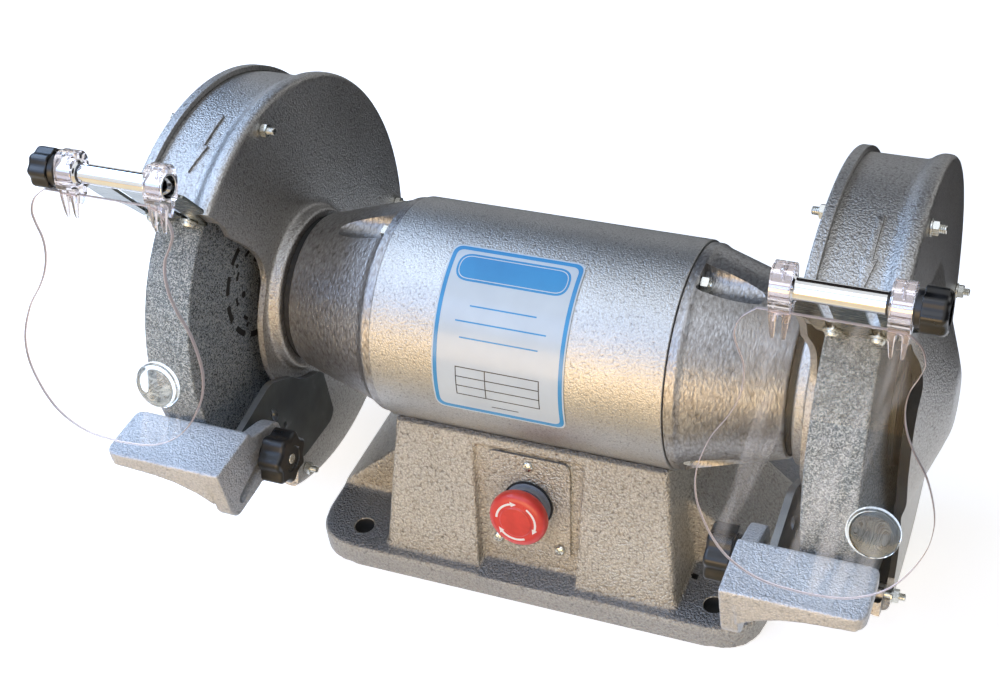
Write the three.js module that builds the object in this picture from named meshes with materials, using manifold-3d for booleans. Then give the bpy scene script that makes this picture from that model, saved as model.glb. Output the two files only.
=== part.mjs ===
// Double-ended industrial bench grinder for 250 mm wheels, as an assembly of separate solids.
// Millimetres. +X runs along the spindle to the right, the front faces -Y, +Z is up, and the origin is the
// centre of the base's underside.
import * as THREE from 'three';
import { mergeVertices } from 'three/addons/utils/BufferGeometryUtils.js';
import Module from 'manifold-3d';

const wasm = await Module();
wasm.setup();

// ---- driving dimensions ------------------------------------------------------------------------------
const FIT = 0.3; // clearance between pieces that touch
const SPINDLE_HEIGHT = 165; // spindle axis above the bench

const WHEEL_RADIUS = 125;
const WHEEL_WIDTH = 32;
const WHEEL_MIDDLE = 210.5; // from the machine's centre to the wheel's middle plane

const MOTOR_RADIUS = 74;
const MOTOR_LENGTH = 194;
const MOTOR_WALL = 4;
const BELL_NECK_RADIUS = 49.5;
const BELL_WALL = 9;
const BEARING_RADIUS = 36;
const BEARING_WIDTH = 17;
const BEARING_START = 146; // distance of the bearing's inner side from the machine's centre
const SHAFT_RADIUS = 17.5; // at the bearings
const SPINDLE_RADIUS = 12.5; // through the wheels
const SPINDLE_END = 252;
const TIE_BOLT_ANGLES = [96, 216, 336]; // degrees, from the back upwards
const TIE_BOLT_CIRCLE = 64;

const GUARD_NEAR = 180; // motor-side face of the guards
const GUARD_FAR = 237; // outer face of the guards
const GUARD_WALL = 4;
const DRUM_RADIUS = 141;
const LIP_RADIUS = 144.8;
const LIP_WIDTH = 6.8;
const BEAD_RADIUS = 145.6;
const DOME_RADIUS = 72;
const DOME_TOP_RADIUS = 24;
const DOME_HEIGHT = 22.5;
const COLLAR_RADIUS = 55;
const COLLAR_START = 171.5;
const DRUM_FRONT_ANGLE = 125.5; // where the drum ends above the wheel's front
const GUARD_BOLT_CIRCLE = 134.2;
const GUARD_BOLT_ANGLES = [95, -9, 246.6];
const BOLT_RADIUS = 3;
const NUT_ACROSS_FLATS = 10;
const NUT_HEIGHT = 5;
const THREAD_END = 4.5; // what a bolt's thread stands out of its nut

const BASE_LENGTH = 320;
const BASE_DEPTH = 190;
const FLANGE_HEIGHT = 20;
const FLANGE_CORNER = 35;
const PEDESTAL_DROP = 50; // from the spindle axis down to the pedestal's upper edges
const PEDESTAL_TOP_HALF_LENGTH = 94;
const PEDESTAL_TOP_HALF_DEPTH = 57.5;
const PEDESTAL_FOOT_HALF_LENGTH = 104.5;
const PEDESTAL_FOOT_HALF_DEPTH = 90.5;
const BASE_WALL = 8;
const BUTTRESS_HALF_WIDTH = 40;
const BUTTRESS_DROP = 37; // from those edges down to the buttresses
const HOLE_HALF_PITCH_X = 127;
const HOLE_HALF_PITCH_Y = 75;
const HOLE_RADIUS = 6.5;
const COVER_LENGTH = 196;
const COVER_DEPTH = 150;
const COVER_THICKNESS = 2.5;

const PANEL_DROP = 6; // from the same edges down to the recess for the switch plate
const PANEL_RISE = 1; // and the recess's lower end above the flange
const PANEL_HALF_WIDTH_TOP = 38;
const PANEL_HALF_WIDTH_BOTTOM = 34;
const PANEL_DEPTH_BOTTOM = 12.5;
const PLATE_WIDTH = 58;
const PLATE_MARGINS = [1, 11]; // recess left clear above and below the plate
const PLATE_THICKNESS = 2;
const STOP_CAP_RADIUS = 20;
const STOP_TRAVEL = 4;
const STOP_BARREL_RADIUS = 11;

const LABEL_WIDTH = 88;
const LABEL_MIDDLE = -9;
const LABEL_ANGLES = [103, 190.5];
const LABEL_THICKNESS = 0.5;

const REST_TOP = -16.5; // tool rest's working face, from the spindle axis
const REST_FRONT = -169;
const REST_GAP = 3.5; // between the rest and the wheel
const REST_BOSS_HEIGHT = 4.9; // boss on the bracket that the rest's leg is clamped against
const REST_FAR = 242;
const REST_THICKNESS = 9;
const REST_APRON = 24; // depth of the thick front part under the rest
const REST_LEG_THICKNESS = 10.5;
const REST_LEG_BOTTOM = -60.5;
const REST_LEG_BACK = -96;
const STUD_Y = -118;
const STUD_Z = -43;
const STUD_RADIUS = 3.6;
const SLOT_RISE = 14; // degrees that the leg's slot climbs towards the back
const REST_FORWARD = 10; // how far the rest slides away from a new wheel
const REST_WEAR = 34; // and how far the slot lets it follow a worn one
const REST_PLATE_THICKNESS = 4.5;
const REST_KNOB_RADIUS = 18;
const REST_KNOB_LENGTH = 20;

const SHIELD_MIDDLE = 212; // middle of the eye shield, from the machine's centre
const ROD_RADIUS = 8;
const ROD_BORE = 6.5;
const ROD_DISTANCE = 200; // shield rod's axis from the spindle axis
const ROD_HALF_LENGTH = 36;
const SHIELD_PLATE_THICKNESS = 2;
const SHIELD_PLATE_INNER = 127; // where the plate ends above the wheel
const SHIELD_PLATE_BEND = 157;
const SHIELD_SCREW_DISTANCE = 134;
const SHIELD_SCREW_HALF_PITCH = 12.3;
const SHIELD_SLIDE = 8;
const SHIELD_LEAN = 18; // degrees that the sheet leans forward from plumb
const SHEET_THICKNESS = 3;
const CLIP_HALF_PITCH = 30;
const CLIP_WIDTH = 11;
const CLIP_RADIUS = 11.8;
const LENS_RADIUS = 14.5;
const LENS_THICKNESS = 8;
const LENS_X = 34;
const LENS_DROP = 125;
const SHIELD_KNOB_RADIUS = 12.7;
const SHIELD_KNOB_LENGTH = 17;
const SHEET_SHIFTS = { left: -12.5, right: -4.5 }; // middle of each sheet from the middle of its rod

// ---- derived places ----------------------------------------------------------------------------------
const WHEEL_NEAR = WHEEL_MIDDLE - WHEEL_WIDTH / 2;
const WHEEL_FAR = WHEEL_MIDDLE + WHEEL_WIDTH / 2;
const PEDESTAL_TOP = SPINDLE_HEIGHT - PEDESTAL_DROP;
const BUTTRESS_TOP = PEDESTAL_TOP - BUTTRESS_DROP;
const PANEL_TOP = PEDESTAL_TOP - PANEL_DROP;
const PANEL_BOTTOM = FLANGE_HEIGHT + PANEL_RISE;
const PLATE_HEIGHT = PANEL_TOP - PANEL_BOTTOM - PLATE_MARGINS[0] - PLATE_MARGINS[1];
const PLATE_MIDDLE_HEIGHT = PANEL_BOTTOM + PLATE_MARGINS[1] + PLATE_HEIGHT / 2;
const MOTOR_HALF = MOTOR_LENGTH / 2;
const DRUM_BORE = DRUM_RADIUS - GUARD_WALL;
const BEARING_END = BEARING_START + BEARING_WIDTH;
const BELL_END = GUARD_NEAR + GUARD_WALL;
const FLANGE_WIDTH = 8;
const FLANGE_RADIUS = 45;
const SPINDLE_NUT_HEIGHT = 14;
const BUSH_CLEARANCE = 2.5;
const REST_PLATE_FAR = GUARD_NEAR - FIT;
const REST_PLATE_NEAR = REST_PLATE_FAR - REST_PLATE_THICKNESS;
const REST_NEAR = REST_PLATE_NEAR - REST_BOSS_HEIGHT - FIT - REST_LEG_THICKNESS;
const REST_BACK = -Math.sqrt(WHEEL_RADIUS ** 2 - REST_TOP ** 2) - REST_GAP;
const deg = Math.PI / 180;

// ---- materials ---------------------------------------------------------------------------------------
const paint = (color, roughness, metalness) => new THREE.MeshStandardMaterial({ color, roughness, metalness });
const hammeredGrey = paint(0x8d9093, 0.35, 0.6);
const restGrey = paint(0x9aa4b0, 0.45, 0.5);
const darkSteel = paint(0x34363a, 0.5, 0.4);
const steel = paint(0xa9acb0, 0.3, 1);
const chrome = paint(0xdfe2e6, 0.08, 1);
const zinc = paint(0xc4c8cc, 0.25, 1);
const abrasive = paint(0x6e7376, 0.95, 0);
const blackPlastic = paint(0x17181a, 0.3, 0);
const redPlastic = paint(0xd8362c, 0.35, 0);
const greyPlastic = paint(0x85888c, 0.5, 0);
const labelWhite = paint(0xe9ecef, 0.4, 0);
const clearPlastic = new THREE.MeshStandardMaterial({
  color: 0xeef3f5, roughness: 0.05, transparent: true, opacity: 0.3,
});
const copper = paint(0xa8613a, 0.4, 0.8);

// ---- solids ------------------------------------------------------------------------------------------
function solidOf(geometry) {
  const bare = geometry.clone();
  for (const name of Object.keys(bare.attributes)) if (name !== 'position') bare.deleteAttribute(name);
  const merged = mergeVertices(bare, 1e-4);
  const kept = [];
  for (let i = 0; i < merged.index.count; i += 3) {
    const [a, b, c] = [0, 1, 2].map((k) => merged.index.getX(i + k));
    if (a !== b && b !== c && a !== c) kept.push(a, b, c);
  }
  return new wasm.Manifold(new wasm.Mesh({
    numProp: 3,
    vertProperties: Float32Array.from(merged.attributes.position.array),
    triVerts: Uint32Array.from(kept),
  }));
}

function geometryOf(solid) {
  const mesh = solid.getMesh();
  const geometry = new THREE.BufferGeometry();
  const positions = new Float32Array(mesh.numVert * 3);
  for (let i = 0; i < mesh.numVert; i++) {
    for (let k = 0; k < 3; k++) positions[3 * i + k] = mesh.vertProperties[i * mesh.numProp + k];
  }
  geometry.setAttribute('position', new THREE.BufferAttribute(positions, 3));
  geometry.setIndex(new THREE.BufferAttribute(Uint32Array.from(mesh.triVerts), 1));
  geometry.computeVertexNormals();
  return geometry;
}

const join = (...solids) => solids.reduce((a, b) => a.add(b));
const cut = (body, ...tools) => tools.reduce((a, b) => a.subtract(b), body);

function placed(geometry, { turn = [0, 0, 0], at = [0, 0, 0] }) {
  const rotation = new THREE.Quaternion().setFromEuler(new THREE.Euler(...turn));
  const unit = new THREE.Vector3(1, 1, 1);
  return geometry.applyMatrix4(new THREE.Matrix4().compose(new THREE.Vector3(...at), rotation, unit));
}

function shapeOf(points) {
  return new THREE.Shape(points.map(([a, b]) => new THREE.Vector2(a, b)));
}

const extrusion = (points, depth) => new THREE.ExtrudeGeometry(shapeOf(points), { depth, bevelEnabled: false });

// A block between two corners.
function block(x0, x1, y0, y1, z0, z1) {
  const box = new THREE.BoxGeometry(x1 - x0, y1 - y0, z1 - z0);
  return solidOf(placed(box, { at: [(x0 + x1) / 2, (y0 + y1) / 2, (z0 + z1) / 2] }));
}

// An outline of (y, z) points, extruded from x0 to x1.
function prismX(points, x0, x1) {
  const basis = new THREE.Matrix4().makeBasis(
    new THREE.Vector3(0, 1, 0), new THREE.Vector3(0, 0, 1), new THREE.Vector3(1, 0, 0));
  return solidOf(extrusion(points, x1 - x0).applyMatrix4(basis).translate(x0, 0, 0));
}

// An outline of (x, z) points, extruded from y0 to y1.
function prismY(points, y0, y1) {
  return solidOf(extrusion(points, y1 - y0).rotateX(Math.PI / 2).translate(0, y1, 0));
}

// An outline of (x, y) points, extruded from z0 to z1.
function prismZ(points, z0, z1) {
  return solidOf(extrusion(points, z1 - z0).translate(0, 0, z0));
}

// A profile of (x, radius) points turned about the X axis, in either order. It closes on itself, or starts and
// ends on the axis.
function turned(profile, segments = 60) {
  const points = profile.map(([x, r]) => new THREE.Vector2(r, x));
  if (THREE.ShapeUtils.area(points) < 0) points.reverse();
  if (points[0].x > 0) points.push(points[0].clone());
  return solidOf(new THREE.LatheGeometry(points, segments).rotateZ(-Math.PI / 2));
}

const ring = (x0, x1, inner, outer, segments) => turned(
  [[x0, inner], [x0, outer], [x1, outer], [x1, inner]], segments);

// A round bar along X.
function barX(x0, x1, radius, y = 0, z = 0, segments = 24) {
  const bar = new THREE.CylinderGeometry(radius, radius, x1 - x0, segments);
  return solidOf(bar.rotateZ(-Math.PI / 2).translate((x0 + x1) / 2, y, z));
}

// A hexagonal bar along X, measured across its flats.
const hexX = (x0, x1, flats, y = 0, z = 0) => barX(x0, x1, flats / Math.sqrt(3), y, z, 6);

function roundedRectangle(halfWidth, halfHeight, radius, steps = 6) {
  const points = [];
  [[1, 1], [-1, 1], [-1, -1], [1, -1]].forEach(([sx, sy], corner) => {
    for (let i = 0; i <= steps; i++) {
      const angle = (corner + i / steps) * Math.PI / 2;
      points.push([sx * (halfWidth - radius) + radius * Math.cos(angle),
        sy * (halfHeight - radius) + radius * Math.sin(angle)]);
    }
  });
  return points;
}

// A capsule outline between two points.
function capsule([ax, ay], [bx, by], radius, steps = 6) {
  const lean = Math.atan2(by - ay, bx - ax);
  const points = [];
  for (let i = 0; i <= steps; i++) {
    const angle = lean - Math.PI / 2 + Math.PI * i / steps;
    points.push([bx + radius * Math.cos(angle), by + radius * Math.sin(angle)]);
  }
  for (let i = 0; i <= steps; i++) {
    const angle = lean + Math.PI / 2 + Math.PI * i / steps;
    points.push([ax + radius * Math.cos(angle), ay + radius * Math.sin(angle)]);
  }
  return points;
}

// Part of a ring about the X axis as an outline of (y, z) points; angles in degrees from the back upwards.
function sector(inner, outer, from, to, steps) {
  const arc = (radius, a, b) => Array.from({ length: steps + 1 }, (_, i) => {
    const angle = (a + (b - a) * i / steps) * deg;
    return [radius * Math.cos(angle), radius * Math.sin(angle)];
  });
  return [...arc(outer, from, to), ...arc(inner, to, from)];
}

const polar = (radius, degrees) => [radius * Math.cos(degrees * deg), radius * Math.sin(degrees * deg)];

// The same solid on the other side of the machine.
function mirrored(solid) {
  const geometry = geometryOf(solid).toNonIndexed();
  const p = geometry.attributes.position;
  for (let i = 0; i < p.count; i += 3) {
    const [ax, ay, az] = [p.getX(i), p.getY(i), p.getZ(i)];
    const [cx, cy, cz] = [p.getX(i + 2), p.getY(i + 2), p.getZ(i + 2)];
    p.setXYZ(i, -cx, cy, cz);
    p.setXYZ(i + 2, -ax, ay, az);
    p.setX(i + 1, -p.getX(i + 1));
  }
  return solidOf(geometry);
}

const onSide = (side, solid) => (side < 0 ? mirrored(solid) : solid);

const grinder = new THREE.Group();
const head = new THREE.Group(); // everything that is laid out from the spindle axis
head.position.z = SPINDLE_HEIGHT;
grinder.add(head);

function piece(name, solid, material, parent = head, position = [0, 0, 0]) {
  const mesh = new THREE.Mesh(geometryOf(solid), material);
  mesh.name = name;
  mesh.position.set(...position);
  parent.add(mesh);
  return mesh;
}

// ---- base --------------------------------------------------------------------------------------------
// Depth of the pedestal's sloping front at a height, and of the steeper back of the switch recess.
const slopeAt = (z) => {
  const share = (z - FLANGE_HEIGHT) / (PEDESTAL_TOP - FLANGE_HEIGHT);
  return PEDESTAL_FOOT_HALF_DEPTH + (PEDESTAL_TOP_HALF_DEPTH - PEDESTAL_FOOT_HALF_DEPTH) * share;
};
const RECESS_TOP_Y = -slopeAt(PANEL_TOP);
const RECESS_BOTTOM_Y = -slopeAt(PANEL_BOTTOM) + PANEL_DEPTH_BOTTOM;
const RECESS_LEAN = Math.atan2(RECESS_TOP_Y - RECESS_BOTTOM_Y, PANEL_TOP - PANEL_BOTTOM);
const recessY = (z) => {
  const share = (PANEL_TOP - z) / (PANEL_TOP - PANEL_BOTTOM);
  return RECESS_TOP_Y + (RECESS_BOTTOM_Y - RECESS_TOP_Y) * share;
};

// A four-sided block that tapers between a lower and an upper rectangle.
function taper(bottom, top, z0, z1) {
  const corners = [];
  for (const [[hx, hy], z] of [[bottom, z0], [top, z1]]) {
    for (const [sx, sy] of [[-1, -1], [1, -1], [1, 1], [-1, 1]]) corners.push(new THREE.Vector3(sx * hx, sy * hy, z));
  }
  const quads = [[3, 2, 1, 0], [4, 5, 6, 7], [0, 1, 5, 4], [1, 2, 6, 5], [2, 3, 7, 6], [3, 0, 4, 7]];
  const positions = quads.flatMap(([a, b, c, d]) => [a, b, c, a, c, d].flatMap((i) => corners[i].toArray()));
  return solidOf(new THREE.BufferGeometry().setAttribute('position', new THREE.Float32BufferAttribute(positions, 3)));
}

function baseCasting() {
  const chamfer = 2.5;
  const flange = join(
    prismZ(roundedRectangle(BASE_LENGTH / 2, BASE_DEPTH / 2, FLANGE_CORNER), 0, FLANGE_HEIGHT - chamfer),
    solidOf(new THREE.ExtrudeGeometry(
      shapeOf(roundedRectangle(BASE_LENGTH / 2 - chamfer, BASE_DEPTH / 2 - chamfer, FLANGE_CORNER - chamfer)),
      { depth: 1, bevelThickness: chamfer, bevelSize: chamfer, bevelSegments: 1 },
    ).translate(0, 0, FLANGE_HEIGHT - chamfer - 1)));
  const pedestal = taper(
    [PEDESTAL_FOOT_HALF_LENGTH, PEDESTAL_FOOT_HALF_DEPTH], [PEDESTAL_TOP_HALF_LENGTH, PEDESTAL_TOP_HALF_DEPTH],
    FLANGE_HEIGHT, PEDESTAL_TOP);
  const half = BASE_LENGTH / 2;
  const buttress = prismY(
    [[-half + 1, 2], [half - 1, 2], [half - 1, FLANGE_HEIGHT + 2], [PEDESTAL_TOP_HALF_LENGTH + 3, BUTTRESS_TOP],
      [-PEDESTAL_TOP_HALF_LENGTH - 3, BUTTRESS_TOP], [-half + 1, FLANGE_HEIGHT + 2]],
    -BUTTRESS_HALF_WIDTH, BUTTRESS_HALF_WIDTH);
  const saddle = barX(-BASE_LENGTH, BASE_LENGTH, MOTOR_RADIUS + FIT, 0, SPINDLE_HEIGHT, 48);
  const ceiling = SPINDLE_HEIGHT - MOTOR_RADIUS - BASE_WALL;
  const hollow = taper(
    [PEDESTAL_FOOT_HALF_LENGTH - BASE_WALL, PEDESTAL_FOOT_HALF_DEPTH - BASE_WALL - PANEL_DEPTH_BOTTOM],
    [PEDESTAL_TOP_HALF_LENGTH - BASE_WALL, PEDESTAL_TOP_HALF_DEPTH - BASE_WALL],
    -1, ceiling);
  const coverSeat = prismZ(
    roundedRectangle(COVER_LENGTH / 2 + FIT, COVER_DEPTH / 2 + FIT, 8 + FIT, 4), -1, COVER_THICKNESS + FIT);
  const cableHole = placedBar(0, 30, SPINDLE_HEIGHT - MOTOR_RADIUS - BASE_WALL / 2, 3 * BASE_WALL, 8);
  const holes = [];
  for (const x of [-HOLE_HALF_PITCH_X, HOLE_HALF_PITCH_X]) {
    for (const y of [-HOLE_HALF_PITCH_Y, HOLE_HALF_PITCH_Y]) {
      holes.push(placedBar(x, y, FLANGE_HEIGHT / 2, FLANGE_HEIGHT * 2, HOLE_RADIUS));
    }
  }
  const body = cut(join(flange, pedestal, buttress), saddle, hollow, coverSeat, cableHole, ...holes, switchRecess());
  return cut(body, ...onRecess((x, up) => barOut(x, up, -BASE_WALL * 2.5, 1, 1.5), SCREW_PLACES),
    onRecess((x, up) => barOut(x, up, -BASE_WALL * 4, 1, STOP_BARREL_RADIUS + FIT), [[0, STOP_UP]])[0]);
}

// A vertical round bar.
function placedBar(x, y, z, length, radius, segments = 14) {
  const bar = new THREE.CylinderGeometry(radius, radius, length, segments);
  return solidOf(bar.rotateX(Math.PI / 2).translate(x, y, z));
}

function switchRecess() {
  const outline = [[-PANEL_HALF_WIDTH_BOTTOM, PANEL_BOTTOM], [PANEL_HALF_WIDTH_BOTTOM, PANEL_BOTTOM],
    [PANEL_HALF_WIDTH_TOP, PANEL_TOP], [-PANEL_HALF_WIDTH_TOP, PANEL_TOP]];
  const front = prismX([[recessY(PANEL_TOP + 10), PANEL_TOP + 10], [-BASE_DEPTH, PANEL_TOP + 10],
    [-BASE_DEPTH, PANEL_BOTTOM - 10], [recessY(PANEL_BOTTOM - 10), PANEL_BOTTOM - 10]],
  -BASE_LENGTH / 2, BASE_LENGTH / 2);
  return front.intersect(prismY(outline, -BASE_DEPTH, 0));
}

// The switch plate's own frame: x to the right, y up the plate, z out of it, starting on the recess's back.
const panel = new THREE.Group();
panel.position.set(0, recessY(PLATE_MIDDLE_HEIGHT), PLATE_MIDDLE_HEIGHT);
panel.rotation.x = Math.PI / 2 - RECESS_LEAN;
grinder.add(panel);
panel.updateMatrix();

const STOP_UP = 2;
const SCREW_PLACES = [[0, PLATE_HEIGHT / 2 - 7], [-21.5, -PLATE_HEIGHT / 2 + 9.5], [21.5, -PLATE_HEIGHT / 2 + 9.5]];

// A round bar standing out of the plate, in the plate's own frame.
function barOut(x, up, from, to, radius, segments = 20) {
  return new THREE.CylinderGeometry(radius, radius, to - from, segments).rotateX(Math.PI / 2)
    .translate(x, up, (from + to) / 2);
}

const onRecess = (make, places) => places.map(([x, up]) => solidOf(make(x, up).applyMatrix4(panel.matrix)));

function switchPanel() {
  const plate = prismZ(roundedRectangle(PLATE_WIDTH / 2, PLATE_HEIGHT / 2, 6, 4), FIT, FIT + PLATE_THICKNESS);
  const holes = SCREW_PLACES.map(([x, up]) => solidOf(barOut(x, up, -5, 5, 2.2, 12)));
  const barrelHole = solidOf(barOut(0, STOP_UP, -5, 5, STOP_BARREL_RADIUS + FIT, 24));
  piece('switch_plate', cut(plate, ...holes, barrelHole), hammeredGrey, panel);

  const seat = FIT + PLATE_THICKNESS + FIT;
  SCREW_PLACES.forEach(([x, up], i) => {
    const shank = solidOf(barOut(0, 0, -12, seat + 1, 1.2, 12));
    const screw = join(shank, solidOf(barOut(0, 0, seat, seat + 2.2, 3.6, 16)));
    piece(`switch_plate_screw_${i + 1}`, screw, zinc, panel, [x, up, 0]);
  });

  const collar = join(
    solidOf(barOut(0, 0, -24, seat + 1, STOP_BARREL_RADIUS, 24)),
    solidOf(barOut(0, 0, seat, seat + 2, 16, 24)),
    solidOf(barOut(0, 0, seat, seat + 5.5, 14.5, 24)));
  const stemHole = solidOf(barOut(0, 0, -12, 20, 6.3, 20));
  piece('stop_button_collar', cut(collar, stemHole), greyPlastic, panel, [0, STOP_UP, 0]);

  const capStart = seat + 5.5 + STOP_TRAVEL + 1.5;
  const dome = new THREE.LatheGeometry([[0, 0], [STOP_CAP_RADIUS - 4, 0], [STOP_CAP_RADIUS, 3.5],
    [STOP_CAP_RADIUS, 7], [STOP_CAP_RADIUS - 2.5, 10], [STOP_CAP_RADIUS - 7, 11.5], [0, 12]]
    .map(([r, h]) => new THREE.Vector2(r, h)), 24).rotateX(Math.PI / 2).translate(0, 0, capStart);
  const stem = solidOf(barOut(0, 0, -12 + STOP_TRAVEL + 1, capStart + 1, 6, 20));
  piece('stop_button_cap', join(solidOf(dome), stem), redPlastic, panel, [0, STOP_UP, 0]);
}

function base() {
  piece('base_casting', baseCasting(), hammeredGrey, grinder);
  piece('bottom_cover_plate', prismZ(roundedRectangle(COVER_LENGTH / 2, COVER_DEPTH / 2, 8, 4), 0, COVER_THICKNESS),
    darkSteel, grinder);
  switchPanel();
}

// ---- motor -------------------------------------------------------------------------------------------
function endBell() {
  const neck = BELL_NECK_RADIUS;
  const outer = [[MOTOR_HALF - 6, MOTOR_RADIUS - MOTOR_WALL - FIT], [MOTOR_HALF + FIT, MOTOR_RADIUS - MOTOR_WALL - FIT],
    [MOTOR_HALF + FIT, MOTOR_RADIUS - 1.5], [MOTOR_HALF + 6, MOTOR_RADIUS - 1.5], [MOTOR_HALF + 8, MOTOR_RADIUS - 3],
    [COLLAR_START - 4, neck + 3], [COLLAR_START - 2, neck], [BELL_END, neck]];
  const bushing = SHAFT_RADIUS + BUSH_CLEARANCE;
  const inner = [[BELL_END, bushing], [BEARING_END + FIT, bushing], [BEARING_END + FIT, BEARING_RADIUS + FIT],
    [BEARING_START - 4, BEARING_RADIUS + FIT], [MOTOR_HALF + 20, MOTOR_RADIUS - 3 - 2 * BELL_WALL],
    [MOTOR_HALF - 6, MOTOR_RADIUS - 3 - BELL_WALL - 1]];
  const shell = turned([...outer, ...inner], 32);
  const tools = TIE_BOLT_ANGLES.flatMap((angle) => [
    barX(MOTOR_HALF + 6.5, BEARING_START, 10.5, ...polar(TIE_BOLT_CIRCLE + 4.5, angle), 14),
    barX(MOTOR_HALF - 20, MOTOR_HALF + 20, BOLT_RADIUS + FIT, ...polar(TIE_BOLT_CIRCLE, angle), 8)]);
  return cut(shell, ...tools);
}

function statorCore() {
  const stack = 60;
  const winding = 20;
  const profile = [[-stack, MOTOR_RADIUS - MOTOR_WALL - FIT], [stack, MOTOR_RADIUS - MOTOR_WALL - FIT],
    [stack, TIE_BOLT_CIRCLE - 5], [stack + winding, TIE_BOLT_CIRCLE - 7], [stack + winding, 46], [stack, 41],
    [-stack, 41], [-stack - winding, 46], [-stack - winding, TIE_BOLT_CIRCLE - 7], [-stack, TIE_BOLT_CIRCLE - 5]];
  const core = turned(profile, 24);
  return cut(core, ...TIE_BOLT_ANGLES.map((angle) => barX(
    -stack - 1, stack + 1, BOLT_RADIUS + 2 * FIT, ...polar(TIE_BOLT_CIRCLE, angle), 8)));
}

function motor() {
  const shell = [[-MOTOR_HALF, MOTOR_RADIUS - MOTOR_WALL], [-MOTOR_HALF, MOTOR_RADIUS], [MOTOR_HALF, MOTOR_RADIUS],
    [MOTOR_HALF, MOTOR_RADIUS - MOTOR_WALL]];
  const cableHole = placedBar(0, 30, -MOTOR_RADIUS, 6 * MOTOR_WALL, 6);
  piece('motor_shell', cut(turned(shell, 48), cableHole), hammeredGrey);
  piece('stator_core', statorCore(), copper);
  for (const [side, name] of [[-1, 'left'], [1, 'right']]) {
    piece(`${name}_end_bell`, onSide(side, endBell()), hammeredGrey);
    const bearing = ring(BEARING_START, BEARING_END, SHAFT_RADIUS + FIT, BEARING_RADIUS, 24);
    piece(`${name}_bearing`, onSide(side, bearing), steel);
  }
  const seat = MOTOR_HALF + 6.5 + FIT;
  TIE_BOLT_ANGLES.forEach((angle, i) => {
    const bolt = join(barX(-seat - NUT_HEIGHT - 2, seat + 1, BOLT_RADIUS, 0, 0, 8),
      hexX(seat, seat + NUT_HEIGHT, NUT_ACROSS_FLATS), hexX(-seat - NUT_HEIGHT, -seat, NUT_ACROSS_FLATS));
    piece(`tie_bolt_${i + 1}`, bolt, zinc, head, [0, ...polar(TIE_BOLT_CIRCLE, angle)]);
  });
  const label = prismX(
    sector(MOTOR_RADIUS + FIT, MOTOR_RADIUS + FIT + LABEL_THICKNESS, LABEL_ANGLES[0], LABEL_ANGLES[1], 20),
    LABEL_MIDDLE - LABEL_WIDTH / 2, LABEL_MIDDLE + LABEL_WIDTH / 2);
  piece('data_label', label, labelWhite);
}

// ---- rotor -------------------------------------------------------------------------------------------
function rotor() {
  const core = 20;
  const half = [[70, core], [70, SHAFT_RADIUS], [BEARING_END + FIT, SHAFT_RADIUS], [BEARING_END + FIT, SHAFT_RADIUS - 1.5],
    [WHEEL_NEAR - FLANGE_WIDTH - 2 * FIT, SHAFT_RADIUS - 1.5], [WHEEL_NEAR - FLANGE_WIDTH - 2 * FIT, SPINDLE_RADIUS],
    [SPINDLE_END - 1.5, SPINDLE_RADIUS], [SPINDLE_END, SPINDLE_RADIUS - 1.5]];
  const profile = [[SPINDLE_END, 0], ...half.slice().reverse(), ...half.map(([x, r]) => [-x, r]), [-SPINDLE_END, 0]];
  piece('spindle', turned(profile, 16), steel);
  piece('rotor_core', ring(-58, 58, core + FIT, 40, 24), steel);
  const bore = SPINDLE_RADIUS + FIT;
  for (const [side, name] of [[-1, 'left'], [1, 'right']]) {
    piece(`${name}_wheel`, onSide(side, ring(WHEEL_NEAR, WHEEL_FAR, bore, WHEEL_RADIUS, 40)), abrasive);
    const innerEnd = WHEEL_NEAR - FIT;
    const inner = [[innerEnd - FLANGE_WIDTH, bore], [innerEnd - FLANGE_WIDTH, 24], [innerEnd - 4, FLANGE_RADIUS - 4],
      [innerEnd - 4, FLANGE_RADIUS], [innerEnd, FLANGE_RADIUS], [innerEnd, bore]];
    piece(`${name}_inner_flange`, onSide(side, turned(inner, 20)), steel);
    const outerStart = WHEEL_FAR + FIT;
    const outer = inner.map(([x, r]) => [outerStart + (innerEnd - x), r]);
    piece(`${name}_outer_flange`, onSide(side, turned(outer, 20)), steel);
    const nutStart = outerStart + FLANGE_WIDTH + FIT;
    const hexagon = hexX(nutStart, nutStart + SPINDLE_NUT_HEIGHT, 36);
    const nut = cut(hexagon, barX(nutStart - 1, nutStart + SPINDLE_NUT_HEIGHT + 1, bore, 0, 0, 20));
    piece(`${name}_spindle_nut`, onSide(side, nut), zinc);
  }
}

// ---- guards ------------------------------------------------------------------------------------------
const GUARD_SEGMENTS = 36;
const MOTOR_SIDE_OPENING = [[-70, 92], [-47, 62], [-43, 38], [-49, 22], [-62, 11], [-66, -17], [-58, -45],
  [-60, -100], [-66, -124]];
const OUTER_SIDE_OPENING = [[-70, 94], [-48, 80], [-37, 61], [-39, 45], [-51, 32], [-59, 15], [-61, -10], [-54, -34],
  [-36, -70], [-33, -95], [-40, -115], [-62, -136]];

// What lies in front of an opening's edge, out beyond the drum.
const beyond = (edge) => [...edge, [-110, -200], [-220, -200], [-220, 220],
  polar(200, DRUM_FRONT_ANGLE), polar(SHIELD_PLATE_INNER - 2, DRUM_FRONT_ANGLE)];

// Walls with an opening at the front; the drum itself ends on a radial plane.
function drumGap() {
  return [polar(DRUM_BORE - 12, DRUM_FRONT_ANGLE), polar(220, DRUM_FRONT_ANGLE), [-260, 220], [-260, -200], [-110, -200],
    [-66, -124], [-60, -112]];
}

function domeProfile() {
  const face = GUARD_FAR;
  const top = face + DOME_HEIGHT;
  return [[face, DOME_RADIUS + 6], [face + 3, DOME_RADIUS - 2], [top - 4, DOME_TOP_RADIUS + 5],
    [top - 1, DOME_TOP_RADIUS - 1], [top, DOME_TOP_RADIUS - 7], [top, 0]];
}

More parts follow.
